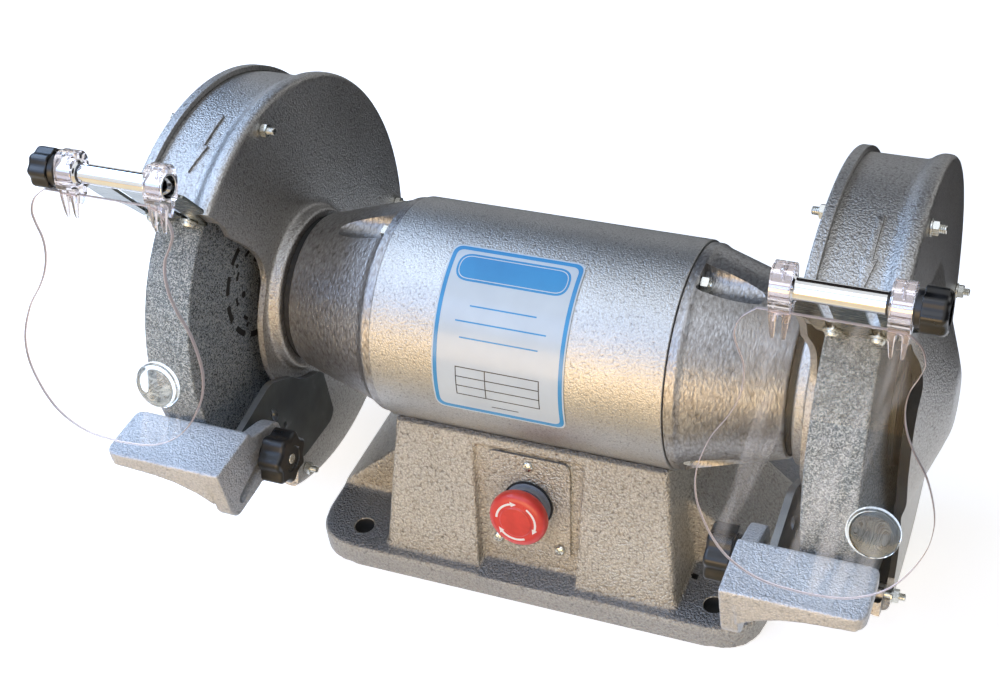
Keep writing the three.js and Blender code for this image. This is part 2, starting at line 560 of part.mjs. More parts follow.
// The inside of the dome and its wall, from the axis outwards.
function domeInside() {
  const top = GUARD_FAR + DOME_HEIGHT - GUARD_WALL;
  return [[top, 0], [top, DOME_TOP_RADIUS - 3], [GUARD_FAR - GUARD_WALL, DOME_RADIUS - 2]];
}

// Housing with a drum, a rounded bead at its far face and the dome over the spindle nut.
function outerHousing() {
  const x = GUARD_FAR;
  const profile = [[GUARD_NEAR + GUARD_WALL + FIT, DRUM_BORE], [GUARD_NEAR + GUARD_WALL + FIT, DRUM_RADIUS],
    [x - 12, DRUM_RADIUS], [x - 8, BEAD_RADIUS - 0.9], [x - 4.5, BEAD_RADIUS], [x - 1.4, BEAD_RADIUS - 1.8],
    [x, DRUM_RADIUS - 1], ...domeProfile()];
  const inside = [...domeInside(), [x - GUARD_WALL, DRUM_BORE]];
  return turned([...profile, ...inside], GUARD_SEGMENTS);
}

// Housing whose beaded wall is on the motor side, with the collar round the end bell's neck.
function motorSideHousing() {
  const x = GUARD_NEAR;
  const profile = [[x + GUARD_WALL, BELL_NECK_RADIUS + FIT], [COLLAR_START, BELL_NECK_RADIUS + FIT],
    [COLLAR_START, COLLAR_RADIUS - 1.5], [COLLAR_START + 1.5, COLLAR_RADIUS], [x - 2, COLLAR_RADIUS + 1],
    [x, COLLAR_RADIUS + 4], [x, DRUM_RADIUS - 1], [x + 1.4, BEAD_RADIUS - 1.8], [x + 4.5, BEAD_RADIUS],
    [x + 8, BEAD_RADIUS - 0.9], [x + 12, DRUM_RADIUS], [GUARD_FAR - GUARD_WALL - FIT, DRUM_RADIUS],
    [GUARD_FAR - GUARD_WALL - FIT, DRUM_BORE], [x + GUARD_WALL, DRUM_BORE]];
  return turned(profile, GUARD_SEGMENTS);
}

// Flat wall on the motor side with a lip over the drum's edge.
function motorSideWall() {
  const x = GUARD_NEAR;
  const profile = [[x + GUARD_WALL, BELL_NECK_RADIUS + FIT], [COLLAR_START, BELL_NECK_RADIUS + FIT],
    [COLLAR_START, COLLAR_RADIUS - 1.5], [COLLAR_START + 1.5, COLLAR_RADIUS], [x - 2, COLLAR_RADIUS + 1],
    [x, COLLAR_RADIUS + 4], [x, LIP_RADIUS - 1], [x + 1, LIP_RADIUS], [x + LIP_WIDTH, LIP_RADIUS],
    [x + LIP_WIDTH, DRUM_RADIUS + FIT], [x + GUARD_WALL, DRUM_RADIUS + FIT]];
  return turned(profile, GUARD_SEGMENTS);
}

// Outer cover with the dome and the same lip.
function outerCover() {
  const x = GUARD_FAR;
  const profile = [[x - GUARD_WALL, DRUM_RADIUS + FIT], [x - LIP_WIDTH, DRUM_RADIUS + FIT], [x - LIP_WIDTH, LIP_RADIUS],
    [x - 1, LIP_RADIUS], [x, LIP_RADIUS - 1], ...domeProfile()];
  return turned([...profile, ...domeInside()], GUARD_SEGMENTS);
}

const guardBoltPlaces = () => GUARD_BOLT_ANGLES.map((angle) => polar(GUARD_BOLT_CIRCLE, angle));

function guardBosses(x0, x1) {
  return guardBoltPlaces().map(([y, z]) => barX(x0, x1, 6, y, z, 12));
}

// Thick pad at the drum's front edge, which the shield bracket is screwed to.
function frontPad(x0, x1) {
  const pad = block(x0, x1, 0, 9, DRUM_BORE - 9, DRUM_RADIUS - 0.5);
  const turn = (DRUM_FRONT_ANGLE - 90) * deg;
  return solidOf(geometryOf(pad).rotateX(turn));
}

function padScrewHoles(radius) {
  return [-1, 1].map((s) => {
    const bar = new THREE.CylinderGeometry(radius, radius, 40, 8);
    bar.translate(SHIELD_MIDDLE + s * SHIELD_SCREW_HALF_PITCH, 0, SHIELD_SCREW_DISTANCE);
    return solidOf(bar.rotateX((DRUM_FRONT_ANGLE - 90) * deg));
  });
}

function guards() {
  const boltHoles = guardBoltPlaces().map(([y, z]) => barX(
    COLLAR_START, GUARD_FAR + DOME_HEIGHT, BOLT_RADIUS + FIT, y, z, 8));
  const wallGap = (edge, x0, x1) => prismX(beyond(edge), x0, x1);
  const gap = (x0, x1) => prismX(drumGap(), x0, x1);
  const edge = GUARD_WALL + FIT / 2;

  const leftHousing = cut(
    join(motorSideHousing(), ...guardBosses(GUARD_NEAR + 2, GUARD_FAR - edge - FIT / 2),
      frontPad(GUARD_NEAR + 2, GUARD_FAR - edge - FIT / 2)),
    wallGap(MOTOR_SIDE_OPENING, COLLAR_START - 1, GUARD_NEAR + edge), gap(GUARD_NEAR + edge - 1, GUARD_FAR + 1),
    ...boltHoles, ...padScrewHoles(2.2));
  const leftCover = cut(
    outerCover(), wallGap(OUTER_SIDE_OPENING, GUARD_FAR - 2 * LIP_WIDTH, GUARD_FAR + DOME_HEIGHT + 1), ...boltHoles);
  const rightWall = cut(
    motorSideWall(), wallGap(MOTOR_SIDE_OPENING, COLLAR_START - 1, GUARD_NEAR + 2 * LIP_WIDTH), ...boltHoles);
  const rightHousing = cut(
    join(outerHousing(), ...guardBosses(GUARD_NEAR + edge + FIT / 2, GUARD_FAR - 2),
      frontPad(GUARD_NEAR + edge + FIT / 2, GUARD_FAR - 2)),
    wallGap(OUTER_SIDE_OPENING, GUARD_FAR - edge, GUARD_FAR + DOME_HEIGHT + 1), gap(GUARD_NEAR, GUARD_FAR - edge + 1),
    ...boltHoles, ...padScrewHoles(2.2));
  piece('left_guard_housing', mirrored(leftHousing), hammeredGrey);
  piece('left_guard_cover', mirrored(leftCover), hammeredGrey);
  piece('right_guard_wall', rightWall, hammeredGrey);
  piece('right_guard_housing', rightHousing, hammeredGrey);

  const outerStart = GUARD_FAR + FIT;
  const nutStart = GUARD_NEAR - FIT;
  const bolt = join(barX(nutStart - NUT_HEIGHT - THREAD_END, outerStart + NUT_HEIGHT + THREAD_END, BOLT_RADIUS, 0, 0, 8),
    hexX(nutStart - NUT_HEIGHT, nutStart, NUT_ACROSS_FLATS), barX(outerStart, outerStart + 1.2, 6.2, 0, 0, 12),
    hexX(outerStart + 1, outerStart + NUT_HEIGHT, NUT_ACROSS_FLATS));
  for (const [side, name] of [[-1, 'left'], [1, 'right']]) {
    guardBoltPlaces().forEach((place, i) => {
      piece(`${name}_guard_bolt_${i + 1}`, onSide(side, bolt), zinc, head, [0, ...place]);
    });
  }
}

// ---- tool rests --------------------------------------------------------------------------------------
function restBracket() {
  const arc = Array.from({ length: 6 }, (_, i) => polar(63.5, 253 - i * 7));
  const outline = [...arc.reverse(), [-14, -66], [-12, -103], [-18, -108], [-60, -106], [-100, -88], [-134, -64],
    [-138, -52], [-134, -38], [-124, -31], [-78, -24.5], [-72, -25.5]];
  const plate = prismX(outline.reverse(), REST_PLATE_NEAR, REST_PLATE_FAR);
  const boss = barX(REST_NEAR + REST_LEG_THICKNESS + FIT, REST_PLATE_NEAR + 1, 11, STUD_Y, STUD_Z, 20);
  const slot = prismX(capsule([-80.5, -45], [-78, -51], 3, 5), 0, GUARD_FAR);
  return cut(join(plate, boss), slot, barX(0, GUARD_FAR, 2.6, -70.7, -65, 14),
    barX(0, GUARD_FAR, STUD_RADIUS + FIT, STUD_Y, STUD_Z, 20));
}

function toolRest() {
  const legFar = REST_NEAR + REST_LEG_THICKNESS;
  const corner = 5;
  const [front, back] = [REST_FRONT, REST_BACK];
  const top = prismZ([[REST_NEAR, front], [REST_FAR - corner, front], [REST_FAR - corner * 0.3, front + corner * 0.3],
    [REST_FAR, front + corner], [REST_FAR, back - corner], [REST_FAR - corner * 0.3, back - corner * 0.3],
    [REST_FAR - corner, back], [REST_NEAR, back]], REST_TOP - REST_THICKNESS, REST_TOP);
  const under = REST_TOP - REST_THICKNESS;
  const apron = prismY([[legFar - 1, under + 1], [legFar - 1, under - 18], [legFar + 10, under - 11],
    [legFar + 25, under - 5.5], [legFar + 39, under - 3], [REST_FAR - corner, under - 1], [REST_FAR - corner, under + 1]],
  front, front + REST_APRON);
  const leg = prismX([[front, REST_TOP - 1], [front + 3, REST_LEG_BOTTOM + 8], [front + 9, REST_LEG_BOTTOM],
    [REST_LEG_BACK - 6, REST_LEG_BOTTOM + 2], [REST_LEG_BACK, REST_LEG_BOTTOM + 9], [REST_LEG_BACK, STUD_Z + 8],
    [REST_LEG_BACK - 7, STUD_Z + 13], [back, REST_TOP - 5], [back, REST_TOP - 1]].reverse(), REST_NEAR, legFar);
  const along = [Math.cos(SLOT_RISE * deg), Math.sin(SLOT_RISE * deg)];
  const end = (distance) => [STUD_Y + along[0] * distance, STUD_Z + along[1] * distance];
  const slot = prismX(capsule(end(-REST_WEAR), end(REST_FORWARD), STUD_RADIUS + FIT), 0, GUARD_FAR);
  return cut(join(top, apron, leg), slot);
}

// A star knob about the X axis, pointing along -X from x = 0.
function lobedKnob(radius, length, lobes, boss) {
  const outline = Array.from({ length: lobes * 4 }, (_, i) => {
    const angle = i / 4 / lobes * 2 * Math.PI;
    const r = radius * (0.93 + 0.07 * Math.cos(lobes * angle));
    return [r * Math.cos(angle), r * Math.sin(angle)];
  });
  return join(prismX(outline, -length, -3), barX(-4, 0, boss, 0, 0, 24));
}

function restKnob() {
  const studEnd = REST_PLATE_FAR - REST_NEAR;
  return join(lobedKnob(REST_KNOB_RADIUS, REST_KNOB_LENGTH, 7, 12.5), barX(-2, studEnd, STUD_RADIUS, 0, 0, 20));
}

function toolRests() {
  for (const [side, name] of [[-1, 'left'], [1, 'right']]) {
    piece(`${name}_rest_bracket`, onSide(side, restBracket()), darkSteel);
    piece(`${name}_tool_rest`, onSide(side, toolRest()), restGrey);
    piece(`${name}_rest_knob`, onSide(side, restKnob()), blackPlastic, head, [side * (REST_NEAR - FIT), STUD_Y, STUD_Z]);
  }
}

// ---- eye shields -------------------------------------------------------------------------------------
// Half of the sheet's outline: half width against the drop below the rod's axis. It clears the knob's lobes.
const SHEET_EDGE = [[38, SHIELD_KNOB_RADIUS + 2 * FIT], [46, 20], [49, 28.5], [47, 36], [43, 45], [42, 55], [44, 66], [49, 77], [57, 90],
  [62.5, 106], [63.8, 119], [61, 133], [52, 150], [40, 162], [22, 170], [0, 172]];

function shieldSheet() {
  const right = SHEET_EDGE.map(([half, drop]) => [half, -drop]);
  const left = SHEET_EDGE.slice(0, -1).reverse().map(([half, drop]) => [-half, -drop]);
  return prismY([...right, ...left].reverse(), -SHEET_THICKNESS / 2, SHEET_THICKNESS / 2);
}

function shieldClip() {
  const half = CLIP_WIDTH / 2;
  const slotHalf = SHEET_THICKNESS / 2 + FIT;
  const jaw = slotHalf + 3.2;
  const body = join(barX(-half, half, CLIP_RADIUS, 0, 0, 18), block(-half, half, -jaw, jaw, -27.5, 0),
    block(-half + 1.5, half - 1.5, -5, 5, 6, 12.5));
  return cut(body, barX(-half - 1, half + 1, ROD_RADIUS + FIT, 0, 0, 18),
    block(-half - 1, half + 1, -slotHalf, slotHalf, -30, -ROD_RADIUS - 4), block(-2.2, 2.2, -20, 20, -30, -14),
    block(-half - 1, half + 1, slotHalf - 1, 20, -30, -20));
}

function shieldBracket() {
  const t = SHIELD_PLATE_THICKNESS;
  const rodTop = ROD_DISTANCE - ROD_RADIUS + 1;
  const lower = 22;
  const upper = ROD_HALF_LENGTH;
  const neck = CLIP_HALF_PITCH - CLIP_WIDTH / 2 - 1;
  const shoulder = ROD_DISTANCE - CLIP_RADIUS - 1;
  const outline = [[-lower, SHIELD_PLATE_INNER], [lower, SHIELD_PLATE_INNER], [lower + 3, SHIELD_PLATE_BEND - 8],
    [upper, SHIELD_PLATE_BEND], [upper, shoulder - 4], [neck, shoulder], [neck, rodTop], [-neck, rodTop],
    [-neck, shoulder], [-upper, shoulder - 4], [-upper, SHIELD_PLATE_BEND], [-lower - 3, SHIELD_PLATE_BEND - 8]];
  const plate = prismY(outline, -FIT - t, -FIT);
  const rodCentre = [-FIT - t / 2, ROD_DISTANCE];
  const rod = barX(-ROD_HALF_LENGTH, ROD_HALF_LENGTH, ROD_RADIUS, ...rodCentre, 24);
  const slots = [-1, 1].map((s) => {
    const x = s * SHIELD_SCREW_HALF_PITCH;
    const ends = [[x, SHIELD_SCREW_DISTANCE - SHIELD_SLIDE], [x, ROD_DISTANCE - 2 * ROD_RADIUS + 1]];
    return prismY(capsule(ends[0], ends[1], 2.9), -20, 20);
  });
  const bore = barX(-ROD_HALF_LENGTH - 1, ROD_HALF_LENGTH + 1, ROD_BORE, ...rodCentre, 24);
  return cut(join(cut(plate, ...slots), rod), bore);
}

function shieldKnob() {
  return join(lobedKnob(SHIELD_KNOB_RADIUS, SHIELD_KNOB_LENGTH, 10, SHIELD_KNOB_RADIUS - 3),
    barX(-1, 14, ROD_BORE - FIT, 0, 0, 20));
}

function eyeShields() {
  const turn = (DRUM_FRONT_ANGLE - 90) * deg;
  for (const [side, name] of [[-1, 'left'], [1, 'right']]) {
    const mount = new THREE.Group();
    mount.position.x = side * SHIELD_MIDDLE;
    mount.rotation.x = turn;
    head.add(mount);
    piece(`${name}_shield_bracket`, shieldBracket(), chrome, mount);
    for (const s of [-1, 1]) {
      const plateFront = -FIT - SHIELD_PLATE_THICKNESS - FIT;
      const screw = join(
        solidOf(new THREE.CylinderGeometry(1.9, 1.9, 12, 8).translate(0, plateFront + 5, 0)),
        solidOf(new THREE.CylinderGeometry(5.6, 5.6, 1.2, 14).translate(0, plateFront - 0.6, 0)),
        solidOf(new THREE.CylinderGeometry(4, 4, 3.2, 12).translate(0, plateFront - 2.4, 0)));
      piece(`${name}_shield_screw_${s < 0 ? 1 : 2}`, screw, zinc, mount,
        [s * SHIELD_SCREW_HALF_PITCH, 0, SHIELD_SCREW_DISTANCE]);
    }
    const rod = new THREE.Group();
    rod.position.set(0, -FIT - SHIELD_PLATE_THICKNESS / 2, ROD_DISTANCE);
    rod.rotation.x = -turn - SHIELD_LEAN * deg;
    mount.add(rod);
    for (const s of [-1, 1]) {
      piece(`${name}_shield_clip_${s < 0 ? 1 : 2}`, shieldClip(), clearPlastic, rod, [s * CLIP_HALF_PITCH, 0, 0]);
    }
    piece(`${name}_eye_shield`, shieldSheet(), clearPlastic, rod, [SHEET_SHIFTS[name], 0, 0]);
    const lens = new THREE.CylinderGeometry(LENS_RADIUS, LENS_RADIUS, LENS_THICKNESS, 28)
      .translate(0, -SHEET_THICKNESS / 2 - FIT - LENS_THICKNESS / 2, 0);
    piece(`${name}_lens`, solidOf(lens), clearPlastic, rod, [SHEET_SHIFTS[name] + LENS_X, 0, -LENS_DROP]);
    const knob = side > 0 ? mirrored(shieldKnob()) : shieldKnob();
    piece(`${name}_shield_knob`, knob, blackPlastic, rod, [side * (ROD_HALF_LENGTH + FIT), 0, 0]);
  }
}

base();
motor();
rotor();
guards();
toolRests();
eyeShields();

export default grinder;
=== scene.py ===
from functools import partial
from math import atan2, copysign, cos, degrees, hypot, pi, radians, sin, sqrt

import bmesh
import bpy
from bpy.props import FloatProperty, FloatVectorProperty, PointerProperty
from mathutils import Matrix, Vector


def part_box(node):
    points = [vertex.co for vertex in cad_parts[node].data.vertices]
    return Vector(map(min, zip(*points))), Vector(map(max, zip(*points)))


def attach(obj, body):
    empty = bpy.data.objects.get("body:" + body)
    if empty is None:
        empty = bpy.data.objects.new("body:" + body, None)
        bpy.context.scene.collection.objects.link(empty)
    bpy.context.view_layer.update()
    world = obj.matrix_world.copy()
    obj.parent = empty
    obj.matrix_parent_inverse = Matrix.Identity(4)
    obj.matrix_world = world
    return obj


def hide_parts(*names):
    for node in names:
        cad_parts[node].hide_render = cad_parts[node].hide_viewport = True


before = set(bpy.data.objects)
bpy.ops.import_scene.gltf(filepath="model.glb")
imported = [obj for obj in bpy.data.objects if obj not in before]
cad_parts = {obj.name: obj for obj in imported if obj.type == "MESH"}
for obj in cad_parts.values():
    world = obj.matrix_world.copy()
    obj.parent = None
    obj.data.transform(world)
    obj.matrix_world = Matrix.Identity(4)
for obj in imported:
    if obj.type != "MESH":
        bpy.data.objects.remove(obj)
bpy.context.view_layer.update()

bl_info = {
    "name": "Bench grinder",
    "version": (1, 0, 0),
    "blender": (4, 5, 0),
    "location": "3D View > Sidebar > Grinder",
    "description": "Finishes a double-ended bench grinder round its CAD frame",
    "category": "Add Mesh",
}

MM = 0.001  # pieces are drawn in millimetres and brought to metres when they are finished
SIDES = (("left", -1), ("right", 1))
FIT = 0.3  # clearance between pieces that touch


def height_of(node):
    """Lowest and highest point of a CAD node, in metres."""
    return (corner[2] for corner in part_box(node))


def radius_of(node):
    """Radius of a CAD node that is round about X, in metres."""
    low, high = height_of(node)
    return (high - low) / 2


# Places in millimetres, as in the CAD model. X runs along the spindle, the front is -Y, Z is up.
AXIS_HEIGHT = sum(height_of("spindle")) / 2 / MM
MOTOR_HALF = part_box("motor_shell")[1][0] / MM
WHEEL_NEAR, WHEEL_FAR = (corner[0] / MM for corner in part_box("right_wheel"))
SADDLE_RADIUS = 74 + FIT
GUARD_NEAR = 180.0
GUARD_FAR = 237.0
GUARD_WALL = 4.0
DRUM_RADIUS = 141.0
DRUM_BORE = 137.0
DRUM_FRONT_ANGLE = 125.5
TIE_BOLT_CIRCLE = 64.0
TIE_BOLT_ANGLES = (96, 216, 336)
REST_NEAR = 159.5
REST_LEG_FAR = 170.0
REST_FAR = 242.0
REST_TOP = -16.5
REST_FRONT = -169.0
REST_BACK = -sqrt(125 ** 2 - REST_TOP ** 2) - 3.5
STUD = (-118.0, -43.0)
SHIELD_MIDDLE = 212.0
SHIELD_SCREW_DISTANCE = 134.0
SHIELD_SCREW_HALF_PITCH = 12.3
ROD_DISTANCE = 200.0
ROD_HALF = 36.0
SHEET_SHIFTS = {"left": -12.5, "right": -4.5}
SHIELD_LEAN = 18.0
PANEL_LEAN = 11.603
STOP_UP = 2.0
STOP_BARREL = 11.3


def moved(x=0, y=0, z=0):
    """A shift."""
    return Matrix.Translation((x, y, z))


def spun(angle, axis):
    """A turn in degrees."""
    return Matrix.Rotation(radians(angle), 4, axis)


HEAD = moved(z=AXIS_HEIGHT)
PANEL = moved(0, -67.588, 70) @ spun(90 - PANEL_LEAN, "X")
LEFTWARD = Matrix.Scale(-1, 4, (1, 0, 0))
DRUM_FRONT = spun(DRUM_FRONT_ANGLE - 90, "X")
ROD_PLACE = moved(0, -1.3, ROD_DISTANCE)


def mount_frame(side):
    """Frame of a shield's mount: Z out through the drum's front edge, -Y out of the bracket's front."""
    return HEAD @ moved(side * SHIELD_MIDDLE) @ DRUM_FRONT


def rod_frame(side):
    """Frame on the shield rod's axis, with -Z down the hanging sheet."""
    return mount_frame(side) @ ROD_PLACE @ spun(90 - DRUM_FRONT_ANGLE - SHIELD_LEAN, "X")


# ---- outlines
def polar(radius, angle):
    """Point at a radius and an angle in degrees."""
    return radius * cos(radians(angle)), radius * sin(radians(angle))


def arc(radius, start, end, steps, centre=(0, 0)):
    """Points along an arc."""
    spots = (polar(radius, start + (end - start) * i / steps) for i in range(steps + 1))
    return [(centre[0] + x, centre[1] + y) for x, y in spots]


def rounded(points, radius=1.0, steps=4):
    """Closed outline with its corners blended. A point may carry a radius of its own as a third number."""
    made = []
    for i, point in enumerate(points):
        here = Vector(point[:2])
        before, after = (Vector(points[k % len(points)][:2]) - here for k in (i - 1, i + 1))
        reach = point[2] if len(point) > 2 else radius
        reach = min(reach, 0.48 * before.length, 0.48 * after.length)
        if reach < 0.02:
            made.append(tuple(here))
            continue
        start, end = (here + way.normalized() * reach for way in (before, after))
        for t in (k / steps for k in range(steps + 1)):
            made.append(tuple(start * (1 - t) ** 2 + here * 2 * t * (1 - t) + end * t * t))
    return made


def rectangle(half_width, half_height, centre=(0, 0)):
    """Corners of a rectangle."""
    return [(centre[0] + a * half_width, centre[1] + b * half_height)
            for a, b in ((-1, -1), (1, -1), (1, 1), (-1, 1))]


def capsule(start, end, radius, steps=8):
    """Outline of a slot between two points."""
    lean = degrees(atan2(end[1] - start[1], end[0] - start[0]))
    return arc(radius, lean - 90, lean + 90, steps, end) + arc(radius, lean + 90, lean + 270, steps, start)


def flowing(points, steps=6):
    """Open curve through the points."""
    ends = [points[0], *points, points[-1]]
    made = []
    for a, b, c, d in zip(ends, ends[1:], ends[2:], ends[3:]):
        for t in (k / steps for k in range(steps)):
            made.append(tuple(
                0.5 * (2 * b[i] + (c[i] - a[i]) * t + (2 * a[i] - 5 * b[i] + 4 * c[i] - d[i]) * t * t
                       + (3 * b[i] - a[i] - 3 * c[i] + d[i]) * t ** 3) for i in (0, 1)))
    return made + [tuple(points[-1])]


# ---- meshes
APART = 0.005  # points of an outline that are closer than this are one point
LEFTOVER = 0.02  # edges shorter than this are left over from a cut
COLLAPSED = 0.001  # edges shorter than this are rounded corners that had no room


def spot(axis, along, across):
    """A place, from how far it is along an axis and where it is across it."""
    k = "XYZ".index(axis)
    return Vector((*across[:k], along, *across[k:2]))


def prism(outline, axis, low, high):
    """An outline drawn across an axis and extruded along it."""
    kept = []
    for point in (Vector(p[:2]) for p in outline):
        if not kept or (point - kept[-1]).length > APART:
            kept.append(point)
    if (kept[0] - kept[-1]).length < APART:
        kept.pop()
    bm = bmesh.new()
    face = bm.faces.new([bm.verts.new(spot(axis, low, p)) for p in kept])
    grown = bmesh.ops.extrude_face_region(bm, geom=[face])["geom"]
    bmesh.ops.translate(bm, verts=[v for v in grown if isinstance(v, bmesh.types.BMVert)],
                        vec=spot(axis, high - low, (0, 0)))
    bmesh.ops.recalc_face_normals(bm, faces=bm.faces)
    return bm


def rod(axis, start, end, radius, steps=32, across=(0, 0)):
    """A round or many-sided bar along an axis."""
    start, end = spot(axis, start, across), spot(axis, end, across)
    turn = (end - start).to_track_quat("Z", "Y").to_matrix().to_4x4()
    bm = bmesh.new()
    bmesh.ops.create_cone(bm, cap_ends=True, cap_tris=False, segments=steps, radius1=radius, radius2=radius,
                          depth=(end - start).length, matrix=moved(*(start + end) / 2) @ turn)
    return bm


def turned(profile, steps=96, blend=0.0, corner_steps=4):
    """A profile of (x, radius) points turned about X. It closes on itself, or runs from axis to axis."""
    if blend:
        profile = rounded(profile, blend, corner_steps)
    bm = bmesh.new()
    verts = [bm.verts.new((p[0], 0, p[1])) for p in profile]
    pairs = list(zip(verts, verts[1:]))
    if profile[0][1] > 0:
        pairs.append((verts[-1], verts[0]))
    edges = [bm.edges.new(pair) for pair in pairs]
    bmesh.ops.spin(bm, geom=verts + edges, cent=(0, 0, 0), axis=(1, 0, 0), dvec=(0, 0, 0),
                   angle=2 * pi, steps=steps, use_merge=True, use_duplicate=False)
    bmesh.ops.remove_doubles(bm, verts=bm.verts, dist=1e-4)
    bmesh.ops.recalc_face_normals(bm, faces=bm.faces)
    return bm


def turned_up(profile, steps=96, blend=0.0, corner_steps=4):
    """A profile of (height, radius) points turned about Z."""
    return placed(turned(profile, steps, blend, corner_steps), spun(-90, "Y"))


def placed(bm, matrix):
    """The mesh in another frame."""
    bmesh.ops.transform(bm, matrix=matrix, space=Matrix.Identity(4), verts=bm.verts)
    if matrix.determinant() < 0:
        bmesh.ops.reverse_faces(bm, faces=bm.faces)
    return bm


def on_side(bm, side):
    """The mesh as drawn for the right, or mirrored for the left."""
    return bm if side > 0 else placed(bm, LEFTWARD)


def mounted(bm, side=1):
    """The mesh on its side of the machine, from the spindle's frame."""
    return placed(on_side(bm, side), HEAD)


def mesh_of(name, bm):
    """The mesh data of a bmesh, which is freed."""
    mesh = bpy.data.meshes.new(name)
    bm.to_mesh(mesh)
    bm.free()
    return mesh


def linked(name, data):
    """A new object in the scene."""
    made = bpy.data.objects.new(name, data)
    bpy.context.scene.collection.objects.link(made)
    return made


def gathered(*meshes):
    """Several closed shells in one mesh."""
    whole = bmesh.new()
    for bm in meshes:
        shell = mesh_of("shell", bm)
        whole.from_mesh(shell)
        bpy.data.meshes.remove(shell)
    return whole


def working(bm):
    """A working object that holds a mesh while modifiers shape it."""
    return linked("working", mesh_of("working", bm))


def taken(holder, *others):
    """What the modifiers made of a working object, which is then removed with the others."""
    shaped = holder.evaluated_get(bpy.context.evaluated_depsgraph_get())
    bm = bmesh.new()
    bm.from_mesh(shaped.to_mesh())
    shaped.to_mesh_clear()
    for used in (holder, *others):
        mesh = used.data
        bpy.data.objects.remove(used)
        bpy.data.meshes.remove(mesh)
    return bm


def ordered(bm):
    """The same mesh with its points and faces sorted, since a cut leaves them in an order that varies."""
    points = sorted(bm.verts, key=lambda v: tuple(v.co))
    for number, v in enumerate(points):
        v.index = number
    loops = []
    for face in bm.faces:
        loop = [v.index for v in face.verts]
        start = loop.index(min(loop))
        loops.append(loop[start:] + loop[:start])
    made = bmesh.new()
    verts = [made.verts.new(v.co) for v in points]
    for loop in sorted(loops):
        made.faces.new([verts[k] for k in loop])
    bm.free()
    return made


def combined(bm, tools, operation="DIFFERENCE"):
    """The mesh cut by, joined with or kept inside each tool in turn."""
    holder = working(bm)
    cutters = [working(tool) for tool in tools]
    for cutter in cutters:
        step = holder.modifiers.new("Boolean", "BOOLEAN")
        step.operation = operation
        step.object = cutter
        step.solver = "MANIFOLD"
    return ordered(taken(holder, *cutters))


def joined(*meshes):
    """One closed skin round several meshes."""
    return combined(meshes[0], meshes[1:], "UNION")


def bevelled(bm, edges, width, segments):
    """The mesh with these edges rounded."""
    bmesh.ops.bevel(bm, geom=edges, offset=width, offset_type="OFFSET", segments=segments, profile=0.5,
                    affect="EDGES", material=-1, clamp_overlap=True)
    bmesh.ops.remove_doubles(bm, verts=bm.verts, dist=COLLAPSED)
    return bm


def softened(bm, width, segments=2, angle=35):
    """The mesh with its sharp edges rounded, after the cuts' leftovers are cleared."""
    bmesh.ops.remove_doubles(bm, verts=bm.verts, dist=LEFTOVER)
    bmesh.ops.dissolve_degenerate(bm, edges=bm.edges, dist=LEFTOVER)
    bmesh.ops.dissolve_limit(bm, angle_limit=radians(1), verts=bm.verts, edges=bm.edges)
    sharp = [e for e in bm.edges if e.is_manifold and e.calc_face_angle(0) > radians(angle)]
    return bevelled(bm, sharp, width, segments)


def cast(bm, cell, smoothing):
    """The skin of a casting: remade in small cells and smoothed, so that its corners get fillets."""
    holder = working(bm)
    skin = holder.modifiers.new("Skin", "REMESH")
    skin.mode = "VOXEL"
    skin.voxel_size = cell
    fillets = holder.modifiers.new("Fillets", "SMOOTH")
    fillets.factor = 0.5
    fillets.iterations = smoothing
    return taken(holder)


def wrapped(bm, radius, centre):
    """A flat mesh of (x, arc length, height) bent round X; lengths run down the front from the centre."""
    spacing = radius * radians(3)
    aside = 0.013  # keeps the bends off the outline's own points
    most = int(max(abs(v.co.y) for v in bm.verts) / spacing)
    for k in range(-most, most + 1):
        bmesh.ops.bisect_plane(bm, geom=bm.verts[:] + bm.edges[:] + bm.faces[:],
                               plane_co=(0, k * spacing + aside, 0), plane_no=(0, 1, 0))
    for v in bm.verts:
        y, z = polar(radius + v.co.z, centre + degrees(v.co.y / radius))
        v.co = (v.co.x, y, z)
    bmesh.ops.recalc_face_normals(bm, faces=bm.faces)
    return bm


def marked(bm, choose):
    """The mesh with its faces' materials chosen in the frame that it was drawn in."""
    bm.normal_update()
    for face in bm.faces:
        face.material_index = choose(face)
    return bm


# ---- fasteners
def nut(x0, x1, flats, bore):
    """A hexagon nut about X with chamfered corners, square to a bolt of the bore's radius."""
    corner = flats / sqrt(3)
    chamfered = corner * 0.86
    drop = corner * 0.084
    rounds = turned([(x0, 0), (x0, chamfered), (x0 + drop, corner * 1.01), (x1 - drop, corner * 1.01),
                     (x1, chamfered), (x1, 0)], 48)
    body = combined(rod("X", x0, x1, corner, 6), [rounds], "INTERSECT")
    return combined(body, [rod("X", x0 - 1, x1 + 1, bore)])


def threaded(x0, x1, radius, pitch=1.0, depth=0.3):
    """A screw's thread as a row of V grooves, with a chamfered end at x1."""
    way = 1 if x1 > x0 else -1
    count = max(1, round(abs(x1 - x0 - way * 0.6) / pitch))
    profile = [(x0, 0), (x0, radius)]
    for k in range(count):
        start = x0 + way * k * pitch
        profile += [(start + way * 0.12 * pitch, radius), (start + way * 0.5 * pitch, radius - depth),
                    (start + way * 0.88 * pitch, radius)]
    return turned(profile + [(x1 - way * 0.5, radius), (x1, radius - 0.55), (x1, 0)], 32)


def pan_screw(radius, height, lean):
    """A pan head along +Z with a cross recess."""
    head = turned_up([(0, 0), (0, radius), (height * 0.35, radius), (height * 0.8, radius * 0.78),
                      (height, radius * 0.4), (height, 0)], 32)
    arms = [prism(rectangle(radius * a, radius * b), "Z", height * 0.45, height + 1)
            for a, b in ((0.62, 0.13), (0.13, 0.62))]
    return placed(combined(head, arms), spun(lean, "Z"))


